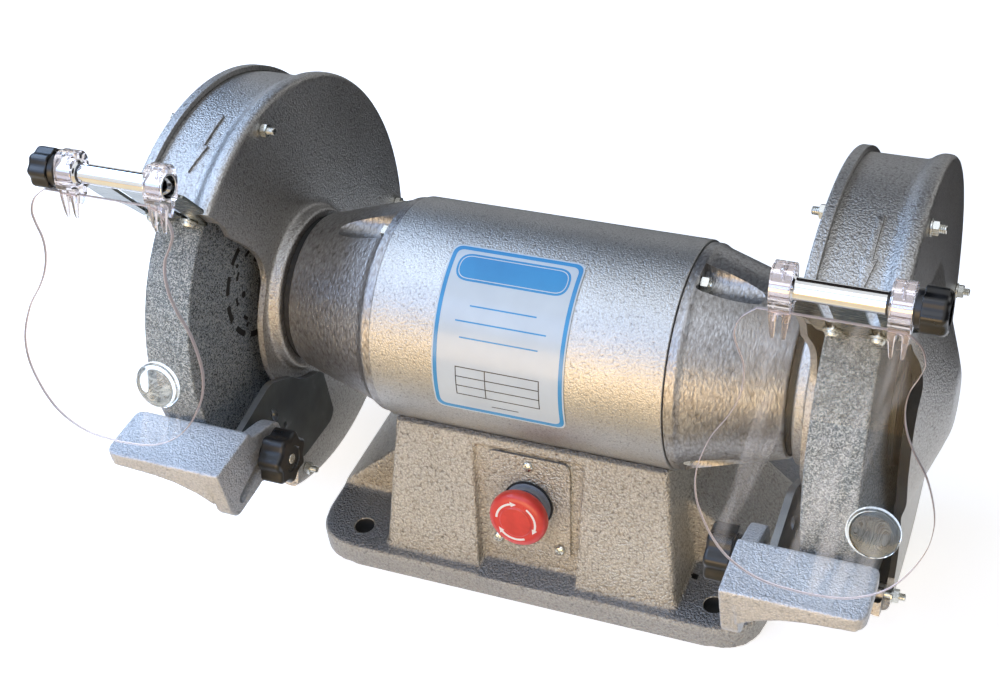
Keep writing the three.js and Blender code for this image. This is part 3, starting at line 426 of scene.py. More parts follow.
def washer(start, bore, radius):
    """A washer 1.2 mm thick about X."""
    end = start + 1.2
    return turned([(start, bore, 0.1), (start, radius, 0.3), (end, radius, 0.3), (end, bore, 0.1)], 40, 0.3)


# ---- finished pieces
def piece(name, bm, finishes, body, *nodes, angle=32, even=True):
    """Finishes a mesh as an object that rides on a body and stands for its CAD nodes.
    """
    for face in bm.faces:
        face.smooth = True
    bmesh.ops.scale(bm, vec=(MM, MM, MM), verts=bm.verts)
    mesh = mesh_of(name, bm)
    mesh.set_sharp_from_angle(angle=radians(angle))
    finishes = [finishes] if isinstance(finishes, str) else finishes
    for each in finishes:
        mesh.materials.append(finish(each))
    made = linked(name, mesh)
    if even:
        made.modifiers.new("Even shading", "WEIGHTED_NORMAL").keep_sharp = True
    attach(made, body)
    if nodes:
        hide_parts(*nodes)
    palette()[finishes[0]][0]


def refinish(node, name):
    """Gives a CAD node that keeps its own shape a new finish."""
    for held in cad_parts[node].material_slots:
        held.material = finish(name)


# ---- materials
def linear(colour):
    """Linear RGBA from an sRGB hex string or from a colour property."""
    if not isinstance(colour, str):
        return (*colour, 1.0)
    parts = (int(colour[i:i + 2], 16) / 255 for i in (1, 3, 5))
    return (*(p / 12.92 if p <= 0.04045 else ((p + 0.055) / 1.055) ** 2.4 for p in parts), 1.0)


def add_node(tree, kind, *values, stops=(), **named):
    """Adds a node. Values go to its inputs in order, capitalised names to the inputs named so, with _ for spaces.

    Each is a plain value, a socket, or a node whose first output is linked. Other names are the node's
    settings, and stops are a ramp's places and colours.
    """
    made = tree.nodes.new("ShaderNode" + kind)
    for name, value in named.items():
        if name[0].islower():
            setattr(made, name, value)
    wanted = {name.replace("_", " "): value for name, value in named.items() if name[0].isupper()}
    for key, value in {**dict(enumerate(values)), **wanted}.items():
        if isinstance(value, bpy.types.Node):
            value = next(output for output in value.outputs if not output.is_unavailable)
        if isinstance(value, bpy.types.NodeSocket):
            tree.links.new(value, made.inputs[key])
        else:
            made.inputs[key].default_value = value
    for _ in stops[2:]:
        made.color_ramp.elements.new(0.5)
    for number, (place, colour) in enumerate(stops):
        made.color_ramp.elements[number].position = place
        made.color_ramp.elements[number].color = linear(colour)
    return made


def material(name, build):
    """The named material, built the first time that a piece asks for it."""
    made = bpy.data.materials.get(name)
    if made is None:
        made = bpy.data.materials.new(name)
        made.use_nodes = True
        made.node_tree.nodes.clear()
        build(partial(add_node, made.node_tree))
    return made


def per_metre(millimetres):
    """Texture scale that gives a pattern of this size."""
    return 1 / (millimetres * MM)


def place_of(add, scale=None):
    """Object coordinates, with each axis scaled or not."""
    place = add("TexCoord").outputs["Object"]
    return add("Mapping", place, Scale=scale) if scale else place


def surfaced(add, tone, stops, gloss, relief, strength, depth, **inputs):
    """Ends a material in one principled shader, whose colour follows one pattern and whose relief another.

    Gloss is a roughness, or a pattern, its range and the roughness at each end. Depth is in millimetres.
    """
    colour = add("ValToRGB", tone, stops=stops) if stops else tone
    rough = add("MapRange", *gloss) if isinstance(gloss, tuple) else gloss
    bump = add("Bump", Height=relief, Strength=strength, Distance=depth * MM, invert=inputs.pop("invert", False))
    add("OutputMaterial", add("BsdfPrincipled", Base_Color=colour, Roughness=rough, Normal=bump, **inputs))


def hammered(cell, light, dark, specks, metallic, roughness, depth, stretch=(1, 1, 1), painted_shade=0.0):
    """Hammered enamel: aluminium paint that dried in shallow dimples of one cell's size, with a few dark specks.

    The last argument sets how strongly painted shade, in a cool bluish grey, darkens the faces that look up and
    the foot near the floor.
    """
    def build(add):
        here = place_of(add, stretch)
        sway = add("TexNoise", here, Scale=per_metre(cell * 2), Detail=2.0)
        shift = add("VectorMath", sway.outputs["Color"], (0.5, 0.5, 0.5), operation="SUBTRACT")
        push = add("VectorMath", shift, Scale=cell * MM * 1.6, operation="SCALE")
        dimple = add("TexVoronoi", add("VectorMath", here, push, operation="ADD"), Scale=per_metre(cell),
                     Smoothness=0.7, Randomness=1.0, feature="SMOOTH_F1")
        grain = add("TexNoise", here, Scale=per_metre(cell * 0.45), Detail=3.0, Roughness=0.6)
        rim = add("Math", dimple, 0.6, operation="MULTIPLY")
        mixed = add("Math", grain, 0.45, rim, operation="MULTIPLY_ADD")
        pooled = add("ValToRGB", mixed, stops=[(0.3, light), (0.64, dark), (0.86, specks)])
        broad = add("TexNoise", here, Scale=per_metre(60), Detail=4.0)
        clouded = add("MapRange", broad, 0.3, 0.7, 0.9, 1.06)
        colour = add("VectorMath", pooled, Scale=clouded, operation="SCALE")
        # Painted shade: faces that look up, and the foot below 26 mm, are mixed towards a cool dark grey.
        if painted_shade:
            facing = add("SeparateXYZ", add("TexCoord").outputs["Normal"])
            ledge = add("MapRange", facing.outputs["Z"], 0.55, 0.9, 0.0, painted_shade)
            height = add("SeparateXYZ", place_of(add))
            foot = add("MapRange", height.outputs["Z"], 14 * MM, 26 * MM, painted_shade * 0.6, 0.0)
            painted_shade_mask = add("Math", ledge, foot, operation="MAXIMUM")
            colour = add("Mix", Factor=painted_shade_mask, A=colour, B=linear("#5F6773"), data_type="RGBA")
        gloss = (grain, 0.3, 0.7, roughness - 0.04, roughness + 0.1)
        surfaced(add, colour, None, gloss, mixed, 0.8, depth, Metallic=metallic, invert=True)
    return build


def black_shade(add):
    """Matt black painted shade, dusted with grit: it swallows the light round the wheel."""
    painted_shade = add("TexNoise", place_of(add), Scale=per_metre(6), Detail=5.0)
    surfaced(add, painted_shade, [(0.35, "#101112"), (0.75, "#252525")], 0.75, painted_shade, 0.4, 0.2)


def bracket_paint(add):
    """Semi-gloss charcoal paint on plate, orange-peeled and rubbed lighter in patches."""
    here = place_of(add)
    peel = add("TexNoise", here, Scale=per_metre(1.6), Detail=2.0)
    rub = add("TexNoise", here, Scale=per_metre(22), Detail=6.0)
    surfaced(add, rub, [(0.4, "#484D4D"), (0.62, "#5A5F5E"), (0.74, "#7B807F")], (rub, 0.0, 1.0, 0.25, 0.55),
             peel, 0.4, 0.12, Metallic=0.15, Coat_Weight=0.3, Coat_Roughness=0.2)


def plated(base, tint, roughness, streak):
    """Electroplated metal, with faint polishing streaks that widen its highlights along them."""
    def build(add):
        lines = add("TexNoise", place_of(add, (1, 12, 12)), Scale=per_metre(9), Detail=4.0)
        haze = add("TexNoise", place_of(add), Scale=per_metre(14), Detail=3.0)
        surfaced(add, haze, [(0.3, base), (0.75, tint)], (lines, 0.3, 0.7, roughness, roughness + streak),
                 lines, 0.08, 0.05, Metallic=1.0)
    return build


def machined_steel(add):
    """Steel turned on a lathe: fine rings round X, 0.4 mm apart so that they show, under a film of oil."""
    rings = add("TexWave", place_of(add), Scale=per_metre(0.4) / 20, Distortion=0.6, Detail=2.0,
                bands_direction="X").outputs["Fac"]
    oil = add("TexNoise", place_of(add), Scale=per_metre(16), Detail=4.0)
    surfaced(add, oil, [(0.35, "#8E9093"), (0.7, "#B4B6B8")], (rings, 0.0, 1.0, 0.24, 0.4), rings, 0.2, 0.05,
             Metallic=1.0)


def laminated(add):
    """Stator: thin steel laminations 0.6 mm apart round X, with varnished copper windings past their ends."""
    here = place_of(add)
    far = add("Math", add("SeparateXYZ", here), operation="ABSOLUTE")
    ends = add("Math", far, 0.0605, operation="GREATER_THAN")
    sheets = add("TexWave", here, Scale=per_metre(0.6) / 20, bands_direction="X").outputs["Fac"]
    wires = add("TexNoise", place_of(add, (6, 1, 1)), Scale=per_metre(3), Detail=3.0)
    steel = add("ValToRGB", sheets, stops=[(0.3, "#4C4F52"), (0.7, "#8C8F92")])
    copper = add("ValToRGB", wires, stops=[(0.35, "#6E3418"), (0.65, "#B8693A")])
    colour = add("Mix", Factor=ends, A=steel, B=copper, data_type="RGBA")
    surfaced(add, colour, None, 0.45, wires, 0.5, 0.3, Metallic=0.7)


def grit(light, dark, size, depth):
    """Vitrified abrasive: light and dark grains of one grit size, open pores between them, no shine."""
    def build(add):
        here = place_of(add)
        grain = add("TexVoronoi", here, Scale=per_metre(size))
        fine = add("TexNoise", here, Scale=per_metre(size * 0.7), Detail=4.0)
        clump = add("TexNoise", here, Scale=per_metre(size * 8), Detail=4.0)
        shade = add("SeparateColor", grain.outputs["Color"])
        mixed = add("Mix", Factor=0.28, A=shade, B=fine, data_type="FLOAT")
        clouded = add("Math", clump, 0.07, mixed, operation="MULTIPLY_ADD")
        surfaced(add, clouded, [(0.25, dark), (0.57, light), (0.88, "#A8ADAD")], 0.9, clouded, 0.7, depth)
    return build


def moulded(colour, shade, roughness, depth=0.03, coat=0.0):
    """Moulded plastic: even colour, the mould's fine spark-eroded grain and a few rubbed patches."""
    def build(add):
        here = place_of(add)
        grain = add("TexNoise", here, Scale=per_metre(0.5), Detail=2.0)
        rub = add("TexNoise", here, Scale=per_metre(9), Detail=5.0)
        surfaced(add, rub, [(0.4, colour), (0.75, shade)], (rub, 0.3, 0.7, roughness - 0.05, roughness + 0.12),
                 grain, 0.5, depth, IOR=1.5, Coat_Weight=coat)
    return build


def film(colour, shade):
    """Printed polyester film: a smooth clear face over the print, faintly dimpled by the paint under it."""
    def build(add):
        here = place_of(add)
        under = add("TexNoise", here, Scale=per_metre(2.2), Detail=2.0)
        rub = add("TexNoise", here, Scale=per_metre(25), Detail=4.0)
        surfaced(add, rub, [(0.35, colour), (0.8, shade)], 0.32, under, 0.15, 0.08, Coat_Weight=0.5,
                 Coat_Roughness=0.15)
    return build


def clear(tint, roughness, scratches, bend=1.49, shine=0.5, clarity=1.0, painted_streaks=0.0):
    """Clear plastic or glass: lamps shine through it, scratches haze it and long streaks of painted highlight
    whiten it.
    """
    def build(add):
        marks = add("TexNoise", place_of(add, (1, 1, 7)), Scale=per_metre(9), Detail=6.0)
        haze = add("MapRange", marks, 0.45, 0.75, roughness, roughness + scratches)
        surface = add("BsdfPrincipled", linear(tint), Roughness=haze, IOR=bend, Specular_IOR_Level=shine,
                      Transmission_Weight=clarity)
        # Painted highlight: streaks of white diffuse colour across the face stand for light that a bent sheet
        # reflects.
        if painted_streaks:
            leaning = add("Mapping", place_of(add), Rotation=(0, radians(14), 0), Scale=(1, 7, 7),
                          vector_type="TEXTURE")
            streak_pattern = add("TexNoise", leaning, Scale=per_metre(17), Detail=5.0)
            white = add("MapRange", streak_pattern, 0.5, 0.75, 0.0, painted_streaks)
            surface = add("MixShader", white, surface, add("BsdfDiffuse", linear("#EDEFF0")))
        through = add("BsdfTransparent", linear("#F1F4F5"))
        shadow = add("LightPath").outputs["Is Shadow Ray"]
        add("OutputMaterial", add("MixShader", shadow, surface, through))
    return build


def palette():
    """Every finish by its real name, with the record's slot that it belongs to."""
    colours = bpy.context.scene.grinder_colours
    light = tuple(colours.enamel)
    return {
        # Sprayed heavily over sand castings: deep dimples of about 1.4 mm.
        "Hammered enamel on casting": (
            "hammered_enamel", hammered(1.35, light, "#9D9A97", "#5A5754", 0.86, 0.32, 0.75)),
        # The base wears the same coat, duller and warmer, with cool grey painted shade on its ledges and foot.
        "Hammered enamel on base": (
            "hammered_enamel", hammered(1.6, "#D8D3C6", "#ADA698", "#4E483F", 0.7, 0.34, 2.6, painted_shade=0.75)),
        # The same paint on a smooth tube: shallower dimples of about 1.2 mm in a brighter skin.
        "Hammered enamel on shell": (
            "hammered_enamel", hammered(1.2, light, "#A8A7A4", "#6A6866", 0.86, 0.31, 0.5)),
        # On the end bells it sagged while they turned, into wrinkles that run round X.
        "Hammered enamel on bell": (
            "hammered_enamel",
            hammered(1.8, "#ABABAB", "#8F8D8B", "#5A5754", 0.86, 0.34, 0.48, (1.1, 0.55, 0.55))),
        # A paler, duller coat on the tool rests.
        "Light enamel on rests": (
            "rest_enamel", hammered(1.4, "#D6D7D8", "#BBBEC1", "#808387", 0.5, 0.4, 1.1)),
        # Black painted shade on the guards' insides, the walls of the base's holes and the bells' necks.
        "Black painted shade": ("hammered_enamel", black_shade),
        # The rests' plate brackets and the base's cover plate.
        "Charcoal paint": ("dark_steel", bracket_paint),
        # Bright grey metal on the bracket's edges: a painted highlight along them.
        "Edge highlight": ("dark_steel", plated("#8B8F92", "#A2A5A7", 0.35, 0.2)),
        # Bright chrome plate on the shield brackets: near-mirror, faintly blue.
        "Chrome plate": ("chrome", plated("#D9DCE0", "#E6E8EA", 0.06, 0.08)),
        # The same plate over a pressed, unpolished strip: it mirrors a dull olive grey.
        "Dull plate": ("chrome", plated("#6F7471", "#8A8B82", 0.16, 0.16)),
        # Bright zinc plate on nuts and screws: softer and slightly yellow against the chrome.
        "Zinc plate": ("zinc", plated("#C3C5C2", "#D6D4C8", 0.2, 0.15)),
        # Spindle, bearings and rotor: bright turned steel under oil.
        "Machined steel": ("steel", machined_steel),
        # Wheel flanges: turned steel, chemically blackened and oiled.
        "Blackened steel": ("steel", plated("#3A3B3C", "#4C4D4E", 0.3, 0.2)),
        # Punched laminations and varnished windings inside the motor.
        "Stator": ("steel", laminated),
        # Bond face of the wheel: light and dark grains of about 0.75 mm.
        "Abrasive side": ("abrasive", grit("#868E94", "#2F3437", 0.75, 0.4)),
        # Dressed rim: the grains are opened up and more even.
        "Abrasive rim": ("abrasive", grit("#717A7F", "#484F53", 0.7, 0.3)),
        # Ink rolled on the bond face through a stencil.
        "Stencil ink": ("abrasive", moulded("#0C0D0E", "#1A1B1C", 0.7)),
        # Black phenolic knobs: hard and glossy with soft highlights.
        "Black phenolic": ("black_plastic", moulded("#0E0F10", "#1B1C1E", 0.3, 0.05)),
        # The stop button: a rubber gasket, a red cap that shines more, a grey collar.
        "Black rubber": ("black_plastic", moulded("#121314", "#1E1F20", 0.65, 0.08)),
        "Red plastic": ("red_plastic", moulded(tuple(colours.stop_button), "#C22A22", 0.32, 0.03, 0.3)),
        "Grey plastic": ("grey_plastic", moulded("#7C8084", "#8D9194", 0.45)),
        # Ink on the stop button: its arrows.
        "White print": ("label_film", moulded("#F2EFEA", "#E2DED8", 0.45)),
        # The label: white polyester, its blue border and header, its black table.
        "White film": ("label_film", film("#C8D4D8", "#BECACF")),
        "Blue print": ("label_film", film(tuple(colours.label), "#2786BC")),
        "Black print": ("label_film", film("#16181B", "#24272B")),
        # The shields' sheet: nearly invisible face on, pinkish and frosted where it was cut, with painted
        # highlights in streaks across it.
        "Clear acrylic": ("clear_plastic", clear("#FCFDFD", 0.0, 0.008, 1.18, 0.3, painted_streaks=0.22)),
        "Cut acrylic edge": ("clear_plastic", clear("#CDBDB8", 0.3, 0.2, clarity=0.25)),
        # The clips: thick clear moulding, slightly smoky.
        "Moulded clear plastic": ("clear_plastic", clear("#EAE4E4", 0.04, 0.08, 1.33, 0.35, 0.96)),
        # The small magnifier: polished glass.
        "Lens glass": ("clear_plastic", clear("#F6FAFA", 0.0, 0.002, 1.3, 0.4)),
    }


def finish(name):
    """The material of a finish."""
    return material(name, palette()[name][1])


# ---- base
BOLT_X, BOLT_Y = 127, 75
EARTH_HOLE = (107.9, -55.4)


def drafted(outline, low, high, top_scale):
    """A prism along Z whose upper end is scaled, as a casting's draft does."""
    bm = prism(outline, "Z", low, high)
    for v in bm.verts:
        if v.co.z > (low + high) / 2:
            v.co.x *= top_scale[0]
            v.co.y *= top_scale[1]
    return bm


def base_casting():
    """Flange, drafted pedestal and buttresses in one casting, with the saddle, switch recess and bolt holes."""
    flange = prism(rounded(rectangle(160.2, 95.2), 35, 10), "Z", 0, 20)
    pedestal = drafted(rounded(rectangle(105.6, 91.4), 4.5), 8, 117, (94 / 104.5, 59.5 / 90.5))
    buttress = prism([(-159, 3), (159, 3), (159, 22), (97, 78.6), (-97, 78.6), (-159, 22)], "Y", -40, 40)
    skin = cast(joined(flange, pedestal, buttress), 1.9, 7)
    recess = prism(rounded([(-34.2, -50, 3), (34.2, -50, 3), (38.6, 40.5, 2), (-38.6, 40.5, 2)]), "Z", 0, 60)
    for v in recess.verts:  # its walls flare outwards, and its ledge falls towards the front
        if v.co.z > 30:
            v.co.x *= 1.12
            v.co.y -= 24 if v.co.y < 0 else 0
    skin = cast(combined(skin, [placed(recess, PANEL)]), 1.5, 2)
    tools = [
        rod("X", -200, 200, SADDLE_RADIUS, 160, (0, AXIS_HEIGHT)),
        drafted(rectangle(96, 70), -1, 83, (86 / 96, 49 / 70)),
        prism(rounded(rectangle(98.3, 75.3), 8.3), "Z", -1, 2.8),  # seat of the cover plate
        prism(rectangle(200, 150), "Z", -20, 0.4),
    ]
    for x in (-BOLT_X, BOLT_X):
        for y in (-BOLT_Y, BOLT_Y):
            hole = turned_up([(-1, 0), (-1, 6.5), (18.6, 6.5), (19.4, 6.8), (20.2, 7.6), (26, 13), (26, 0)], 48)
            tools.append(placed(hole, moved(x, y)))
    tools.append(rod("Z", 8, 26, 2.1, 24, EARTH_HOLE))
    tools.append(placed(rod("Z", -32, 1, STOP_BARREL, 32, (0, STOP_UP)), PANEL))
    # The walls of the holes take the black painted shade.
    return marked(combined(skin, tools), shaded_hole)


def shaded_hole(face):
    """1 on the walls of the bolt holes and the earth hole, which take the black painted shade, 0 on the rest."""
    x, y, _ = face.calc_center_median()
    in_hole = hypot(abs(x) - BOLT_X, abs(y) - BOLT_Y) < 6.9 and abs(face.normal.z) < 0.5
    return int(in_hole or hypot(x - EARTH_HOLE[0], y - EARTH_HOLE[1]) < 2.3)


class GRINDER_OT_base(bpy.types.Operator):
    """Casts the base and finishes its cover plate"""

    bl_idname = "grinder.base"
    bl_label = "Base"

    def execute(self, context):
        piece("base_casting_skin", base_casting(), ("Hammered enamel on base", "Black painted shade"), "machine",
              "base_casting", angle=40, even=False)
        refinish("bottom_cover_plate", "Charcoal paint")
        return {"FINISHED"}


# ---- switch
PLATE_THICKNESS = 2
SWITCH_SEAT = FIT + PLATE_THICKNESS + FIT  # where the collar starts, out from the recess's back
COLLAR_TOP = SWITCH_SEAT + 5.5
CAP_START = COLLAR_TOP + 5.5
SCREW_PLACES = ((0, 31, 20), (-22, -30, 65), (22, -30, 35))


def arrow_arc(radius, start, sweep, width, head):
    """Outline of a curved arrow with its head at the end of the sweep."""
    neck = start + sweep - head
    wing = width * 1.25
    return (arc(radius + width / 2, start, neck, 10)
            + [polar(radius + wing, neck), polar(radius, start + sweep), polar(radius - wing, neck)]
            + arc(radius - width / 2, neck, start, 10))


class GRINDER_OT_switch(bpy.types.Operator):
    """Builds the switch plate, its screws and the stop button"""

    bl_idname = "grinder.switch"
    bl_label = "Switch and stop button"

    def execute(self, context):
        plate = prism(rounded(rectangle(29, 38), 6, 8), "Z", FIT, FIT + PLATE_THICKNESS)
        holes = [rod("Z", -5, 5, 2.2, 24, (x, up)) for x, up, _ in SCREW_PLACES]
        barrel = rod("Z", -5, 5, STOP_BARREL, 48, (0, STOP_UP))
        plate = softened(combined(plate, [*holes, barrel]), 0.5)
        piece("switch_plate_finished", placed(plate, PANEL), "Hammered enamel on base", "machine",
              "switch_plate")
        for number, (x, up, lean) in enumerate(SCREW_PLACES, 1):
            head = placed(pan_screw(3.6, 2.2, lean), moved(z=SWITCH_SEAT))
            screw = gathered(head, rod("Z", -10, SWITCH_SEAT, 1.2, 16))
            piece(f"switch_screw_{number}", placed(screw, PANEL @ moved(x, up)), "Zinc plate", "machine",
                  f"switch_plate_screw_{number}")
        middle = PANEL @ moved(0, STOP_UP)
        seat, top, start = SWITCH_SEAT, COLLAR_TOP, CAP_START
        collar = turned_up([
            (-22, 6.3, 0.3), (-22, 11, 0.3), (seat, 11, 0.1), (seat, 16, 0.4), (seat + 1.8, 16, 0.7),
            (seat + 2.2, 14.6, 0.3), (top, 14.4, 0.8), (top, 6.3, 0.6)], blend=0.5)
        piece("stop_collar", placed(collar, middle), "Grey plastic", "machine", "stop_button_collar")
        gasket = turned_up([(seat + 0.05, 11.4, 0.1), (seat + 0.05, 17.4, 0.3), (seat + 0.9, 17.4, 0.5),
                            (seat + 0.9, 11.4, 0.1)], blend=0.3)
        piece("stop_gasket", placed(gasket, middle), "Black rubber", "machine")
        cap = turned_up([
            (start + 12, 0, 0), (start + 12, 10.6, 0.8), (start + 11, 11.3, 0.5), (start + 11, 15.6, 1.5),
            (start + 9.6, 18.8, 2), (start + 7, 20, 2), (start + 3, 19.9, 1.5), (start + 0.2, 17.8, 1.0),
            (start, 15, 0.4), (start, 6, 0.3), (-8, 6, 0.3), (-8, 0, 0)], blend=0.5, corner_steps=5)
        piece("stop_cap", placed(cap, middle), "Red plastic", "stop_button", "stop_button_cap")
        arrows = [prism(arrow_arc(13.5, 176 - k * 120, -88, 1.5, -17), "Z", start + 10.98, start + 11.1)
                  for k in range(3)]
        piece("stop_arrows", placed(gathered(*arrows), middle), "White print", "stop_button", even=False)
        return {"FINISHED"}


# ---- motor
def end_bell():
    """Cone from the shell's end to the guard's neck, with a leaf-shaped pocket at each tie bolt."""
    bell = turned([
        (91, 69.6, 0.5), (97.3, 69.6, 0.2), (97.3, 72.6, 0.5), (103.2, 72.6, 1.2), (106.5, 70.6, 5),
        (166.4, 52.6, 1.5), (166.9, 49.5, 0.4), (184, 49.5, 0.4), (184, 20, 0.5), (163, 20, 0.5),
        (163, 36.4, 0.5), (142, 36.4, 1), (118, 52, 3), (91, 61, 1)], 144, 1.0, 5)
    tools = []
    for angle in TIE_BOLT_ANGLES:
        pocket = turned([(103.5, 0), (103.5, 11.2), (140, 10.6), (152, 8), (158, 0)], 48)
        tools.append(placed(pocket, moved(0, *polar(TIE_BOLT_CIRCLE + 5.5, angle))))
        tools.append(rod("X", 80, 120, 3.4, 24, polar(TIE_BOLT_CIRCLE, angle)))
    # The neck in the guard's collar takes the black painted shade of the gap.
    return marked(softened(combined(bell, tools), 0.8, 3, 38), shaded_neck)


def shaded_neck(face):
    """1 on the neck that sits in the guard's collar, which takes the black painted shade of the gap, 0 on the
    rest.
    """
    x, y, z = face.calc_center_median()
    return int(abs(x) > 166.6 and hypot(y, z) < 52)


def tie_bolt():
    """Long bolt with a nut and a thread's end at each side of the motor."""
    seat = MOTOR_HALF + 6.5 + FIT
    ends = []
    for side in (-1, 1):
        ends += [on_side(nut(seat, seat + 5, 10, 2.9), side), on_side(threaded(seat + 5, seat + 7, 3), side)]
    return gathered(rod("X", -seat - 5, seat + 5, 3, 24), *ends)


class GRINDER_OT_motor(bpy.types.Operator):
    """Builds the motor's shell, end bells and tie bolts and finishes what is inside"""

    bl_idname = "grinder.motor"
    bl_label = "Motor"

    def execute(self, context):
        radius = context.scene.grinder_sizes.motor_radius / MM
        shell = turned([(-MOTOR_HALF, radius - 4, 0.3), (-MOTOR_HALF, radius, 0.9), (MOTOR_HALF, radius, 0.9),
                        (MOTOR_HALF, radius - 4, 0.3)], 192, 0.5)
        piece("motor_tube", mounted(shell), "Hammered enamel on shell", "machine", "motor_shell")
        for name, side in SIDES:
            piece(f"{name}_bell", mounted(end_bell(), side),
                  ("Hammered enamel on bell", "Black painted shade"), "machine", f"{name}_end_bell")
            refinish(f"{name}_bearing", "Machined steel")
        for number, angle in enumerate(TIE_BOLT_ANGLES, 1):
            at = HEAD @ moved(0, *polar(TIE_BOLT_CIRCLE, angle))
            piece(f"tie_rod_{number}", placed(tie_bolt(), at), "Zinc plate", "machine", f"tie_bolt_{number}")
        refinish("stator_core", "Stator")
        return {"FINISHED"}


# ---- label
LABEL_TOP, LABEL_FOOT = 103, 190.5  # angles round the motor
LABEL_MIDDLE = -9.0


class GRINDER_OT_label(bpy.types.Operator):
    """Wraps a plain printed label round the motor"""

    bl_idname = "grinder.label"
    bl_label = "Label"

    def execute(self, context):
        half = radians(LABEL_FOOT - LABEL_TOP) / 2 * SADDLE_RADIUS

        def block(half_width, half_height, along=0.0, down=0.0, corner=0.0, thickness=0.4):
            outline = rounded(rectangle(half_width, half_height, (LABEL_MIDDLE + along, down)), corner, 8)
            return prism(outline, "Z", 0, thickness)

        border = combined(block(43, half - 1, corner=6.5), [block(40.4, half - 3.6, corner=5, thickness=5)])
        header = block(37.3, 9.4, 0, 15.4 - half, 9.2)
        outer, inner = block(35.9, 8, 0, 15.4 - half, 7.8, 0.44), block(35.3, 7.4, 0, 15.4 - half, 7.2, 5)
        blue_rules = [block(width, 0.45, 0, -17 + 10 * k) for k, width in enumerate((22, 30, 26))]
        top, bottom = half - 34.5, half - 14.5
        rules = [block(28, 0.3, 0, top + (bottom - top) * k / 3, thickness=0.39) for k in range(4)]
        rules += [block(0.3, (bottom - top) / 2, x, (top + bottom) / 2) for x in (-27.7, -8, 27.7)]
        rules.append(block(9, 0.25, 4, half - 8))
        for name, flat, paint, nodes in (
                ("label_sheet", [block(44, half, corner=7, thickness=0.34)], "White film", ["data_label"]),
                ("label_blue_print", [border, header, *blue_rules], "Blue print", []),
                ("label_white_line", [combined(outer, [inner])], "White film", []),
                ("label_black_print", rules, "Black print", [])):
            bent = [wrapped(bm, SADDLE_RADIUS, (LABEL_TOP + LABEL_FOOT) / 2) for bm in flat]
            piece(name, mounted(gathered(*bent)), paint, "machine", *nodes, even=False)
        return {"FINISHED"}


# ---- rotor
FLANGE = 8  # thickness of a wheel flange


def wheel_stamp():
    """A plain stamp on the wheel's motor side: a broken ring round smaller dots and bars."""
    marks = []
    for radius, width, count, share in ((35, 4.0, 11, 0.62), (25, 2.4, 9, 0.34)):
        for k in range(count):
            start = 360 * (k + 0.2) / count
            end = start + 360 / count * share
            marks.append(arc(radius + width / 2, start, end, 6) + arc(radius - width / 2, end, start, 6))
    for k in range(7):
        reach, size = (16.5, 2.4) if k % 2 else (29, 1.5)
        marks.append(arc(size, 0, 345, 12, polar(reach, 51 * k + 20)))
    stamp = gathered(*[prism(mark, "X", WHEEL_NEAR - 0.06, WHEEL_NEAR + 0.02) for mark in marks])
    return placed(stamp, moved(0, -37, 29))


class GRINDER_OT_rotor(bpy.types.Operator):
    """Builds the spindle, wheels, flanges and spindle nuts"""

    bl_idname = "grinder.rotor"
    bl_label = "Rotor and wheels"

    def execute(self, context):
        radius = context.scene.grinder_sizes.wheel_radius / MM
        right = [(70, 20), (70, 17.5), (163.3, 17.5), (163.3, 16), (185.9, 16), (185.9, 12.5), (250.5, 12.5),
                 (252, 11), (252, 0)]
        spindle = turned([(-x, r) for x, r in right[::-1]] + right, 64)
        piece("spindle_turned", mounted(spindle), "Machined steel", "rotor", "spindle")
        refinish("rotor_core", "Machined steel")
        near, far = WHEEL_NEAR - FIT - FLANGE, WHEEL_FAR + FIT + FLANGE
        dish = [(0, 12.8, 0.3), (0, 24, 1), (4, 40, 2), (4, 45, 0.6), (8, 45, 0.5), (8, 12.8, 0.3)]
        start = far + FIT
        for name, side in SIDES:
            wheel = turned([(WHEEL_NEAR, 12.8, 0.4), (WHEEL_NEAR, radius, 1.6), (WHEEL_FAR, radius, 1.6),
                            (WHEEL_FAR, 12.8, 0.4)], 160, 1.0)
            wheel = marked(on_side(wheel, side),
                           lambda face: int(face.calc_center_median().yz.length > radius - 1.8))
            piece(f"{name}_grinding_wheel", placed(wheel, HEAD), ("Abrasive side", "Abrasive rim"), "rotor",
                  f"{name}_wheel")
            piece(f"{name}_wheel_stamp", mounted(wheel_stamp(), side), "Stencil ink", "rotor", even=False)
            for part, points in (("inner", [(near + x, r, blend) for x, r, blend in dish]),
                                 ("outer", [(far - x, r, blend) for x, r, blend in dish[::-1]])):
                piece(f"{name}_{part}_washer", mounted(turned(points, blend=0.5), side),
                      "Blackened steel", "rotor", f"{name}_{part}_flange")
            piece(f"{name}_nut", mounted(nut(start, start + 14, 36, 12.8), side), "Zinc plate",
                  "rotor", f"{name}_spindle_nut")
        return {"FINISHED"}


# ---- guards
GUARD_BOLTS = [polar(134.2, angle) for angle in (95, -9, 246.6)]
MOTOR_SIDE_OPENING = [(-70, 92), (-48, 63), (-45, 42), (-53, 28), (-62, 11), (-66, -17), (-60, -45), (-60, -100),
                      (-66, -124)]
OUTER_SIDE_OPENING = [(-70, 94), (-48, 80), (-37, 61), (-39, 45), (-51, 32), (-59, 15), (-61, -10), (-54, -34),
                      (-36, -70), (-33, -95), (-40, -115), (-62, -136)]
DOME = [(237, 78, 6), (240, 70, 6), (255.5, 29, 9), (259.5, 17, 5), (259.5, 0, 0), (255.5, 0, 0), (255.5, 21, 3),
        (233, 70, 2)]
COLLAR = [(184, 49.8, 0.3), (171.5, 49.8, 0.5), (171.5, 55.2, 2.6), (179.2, 56.6, 2.5), (180, 61, 3)]

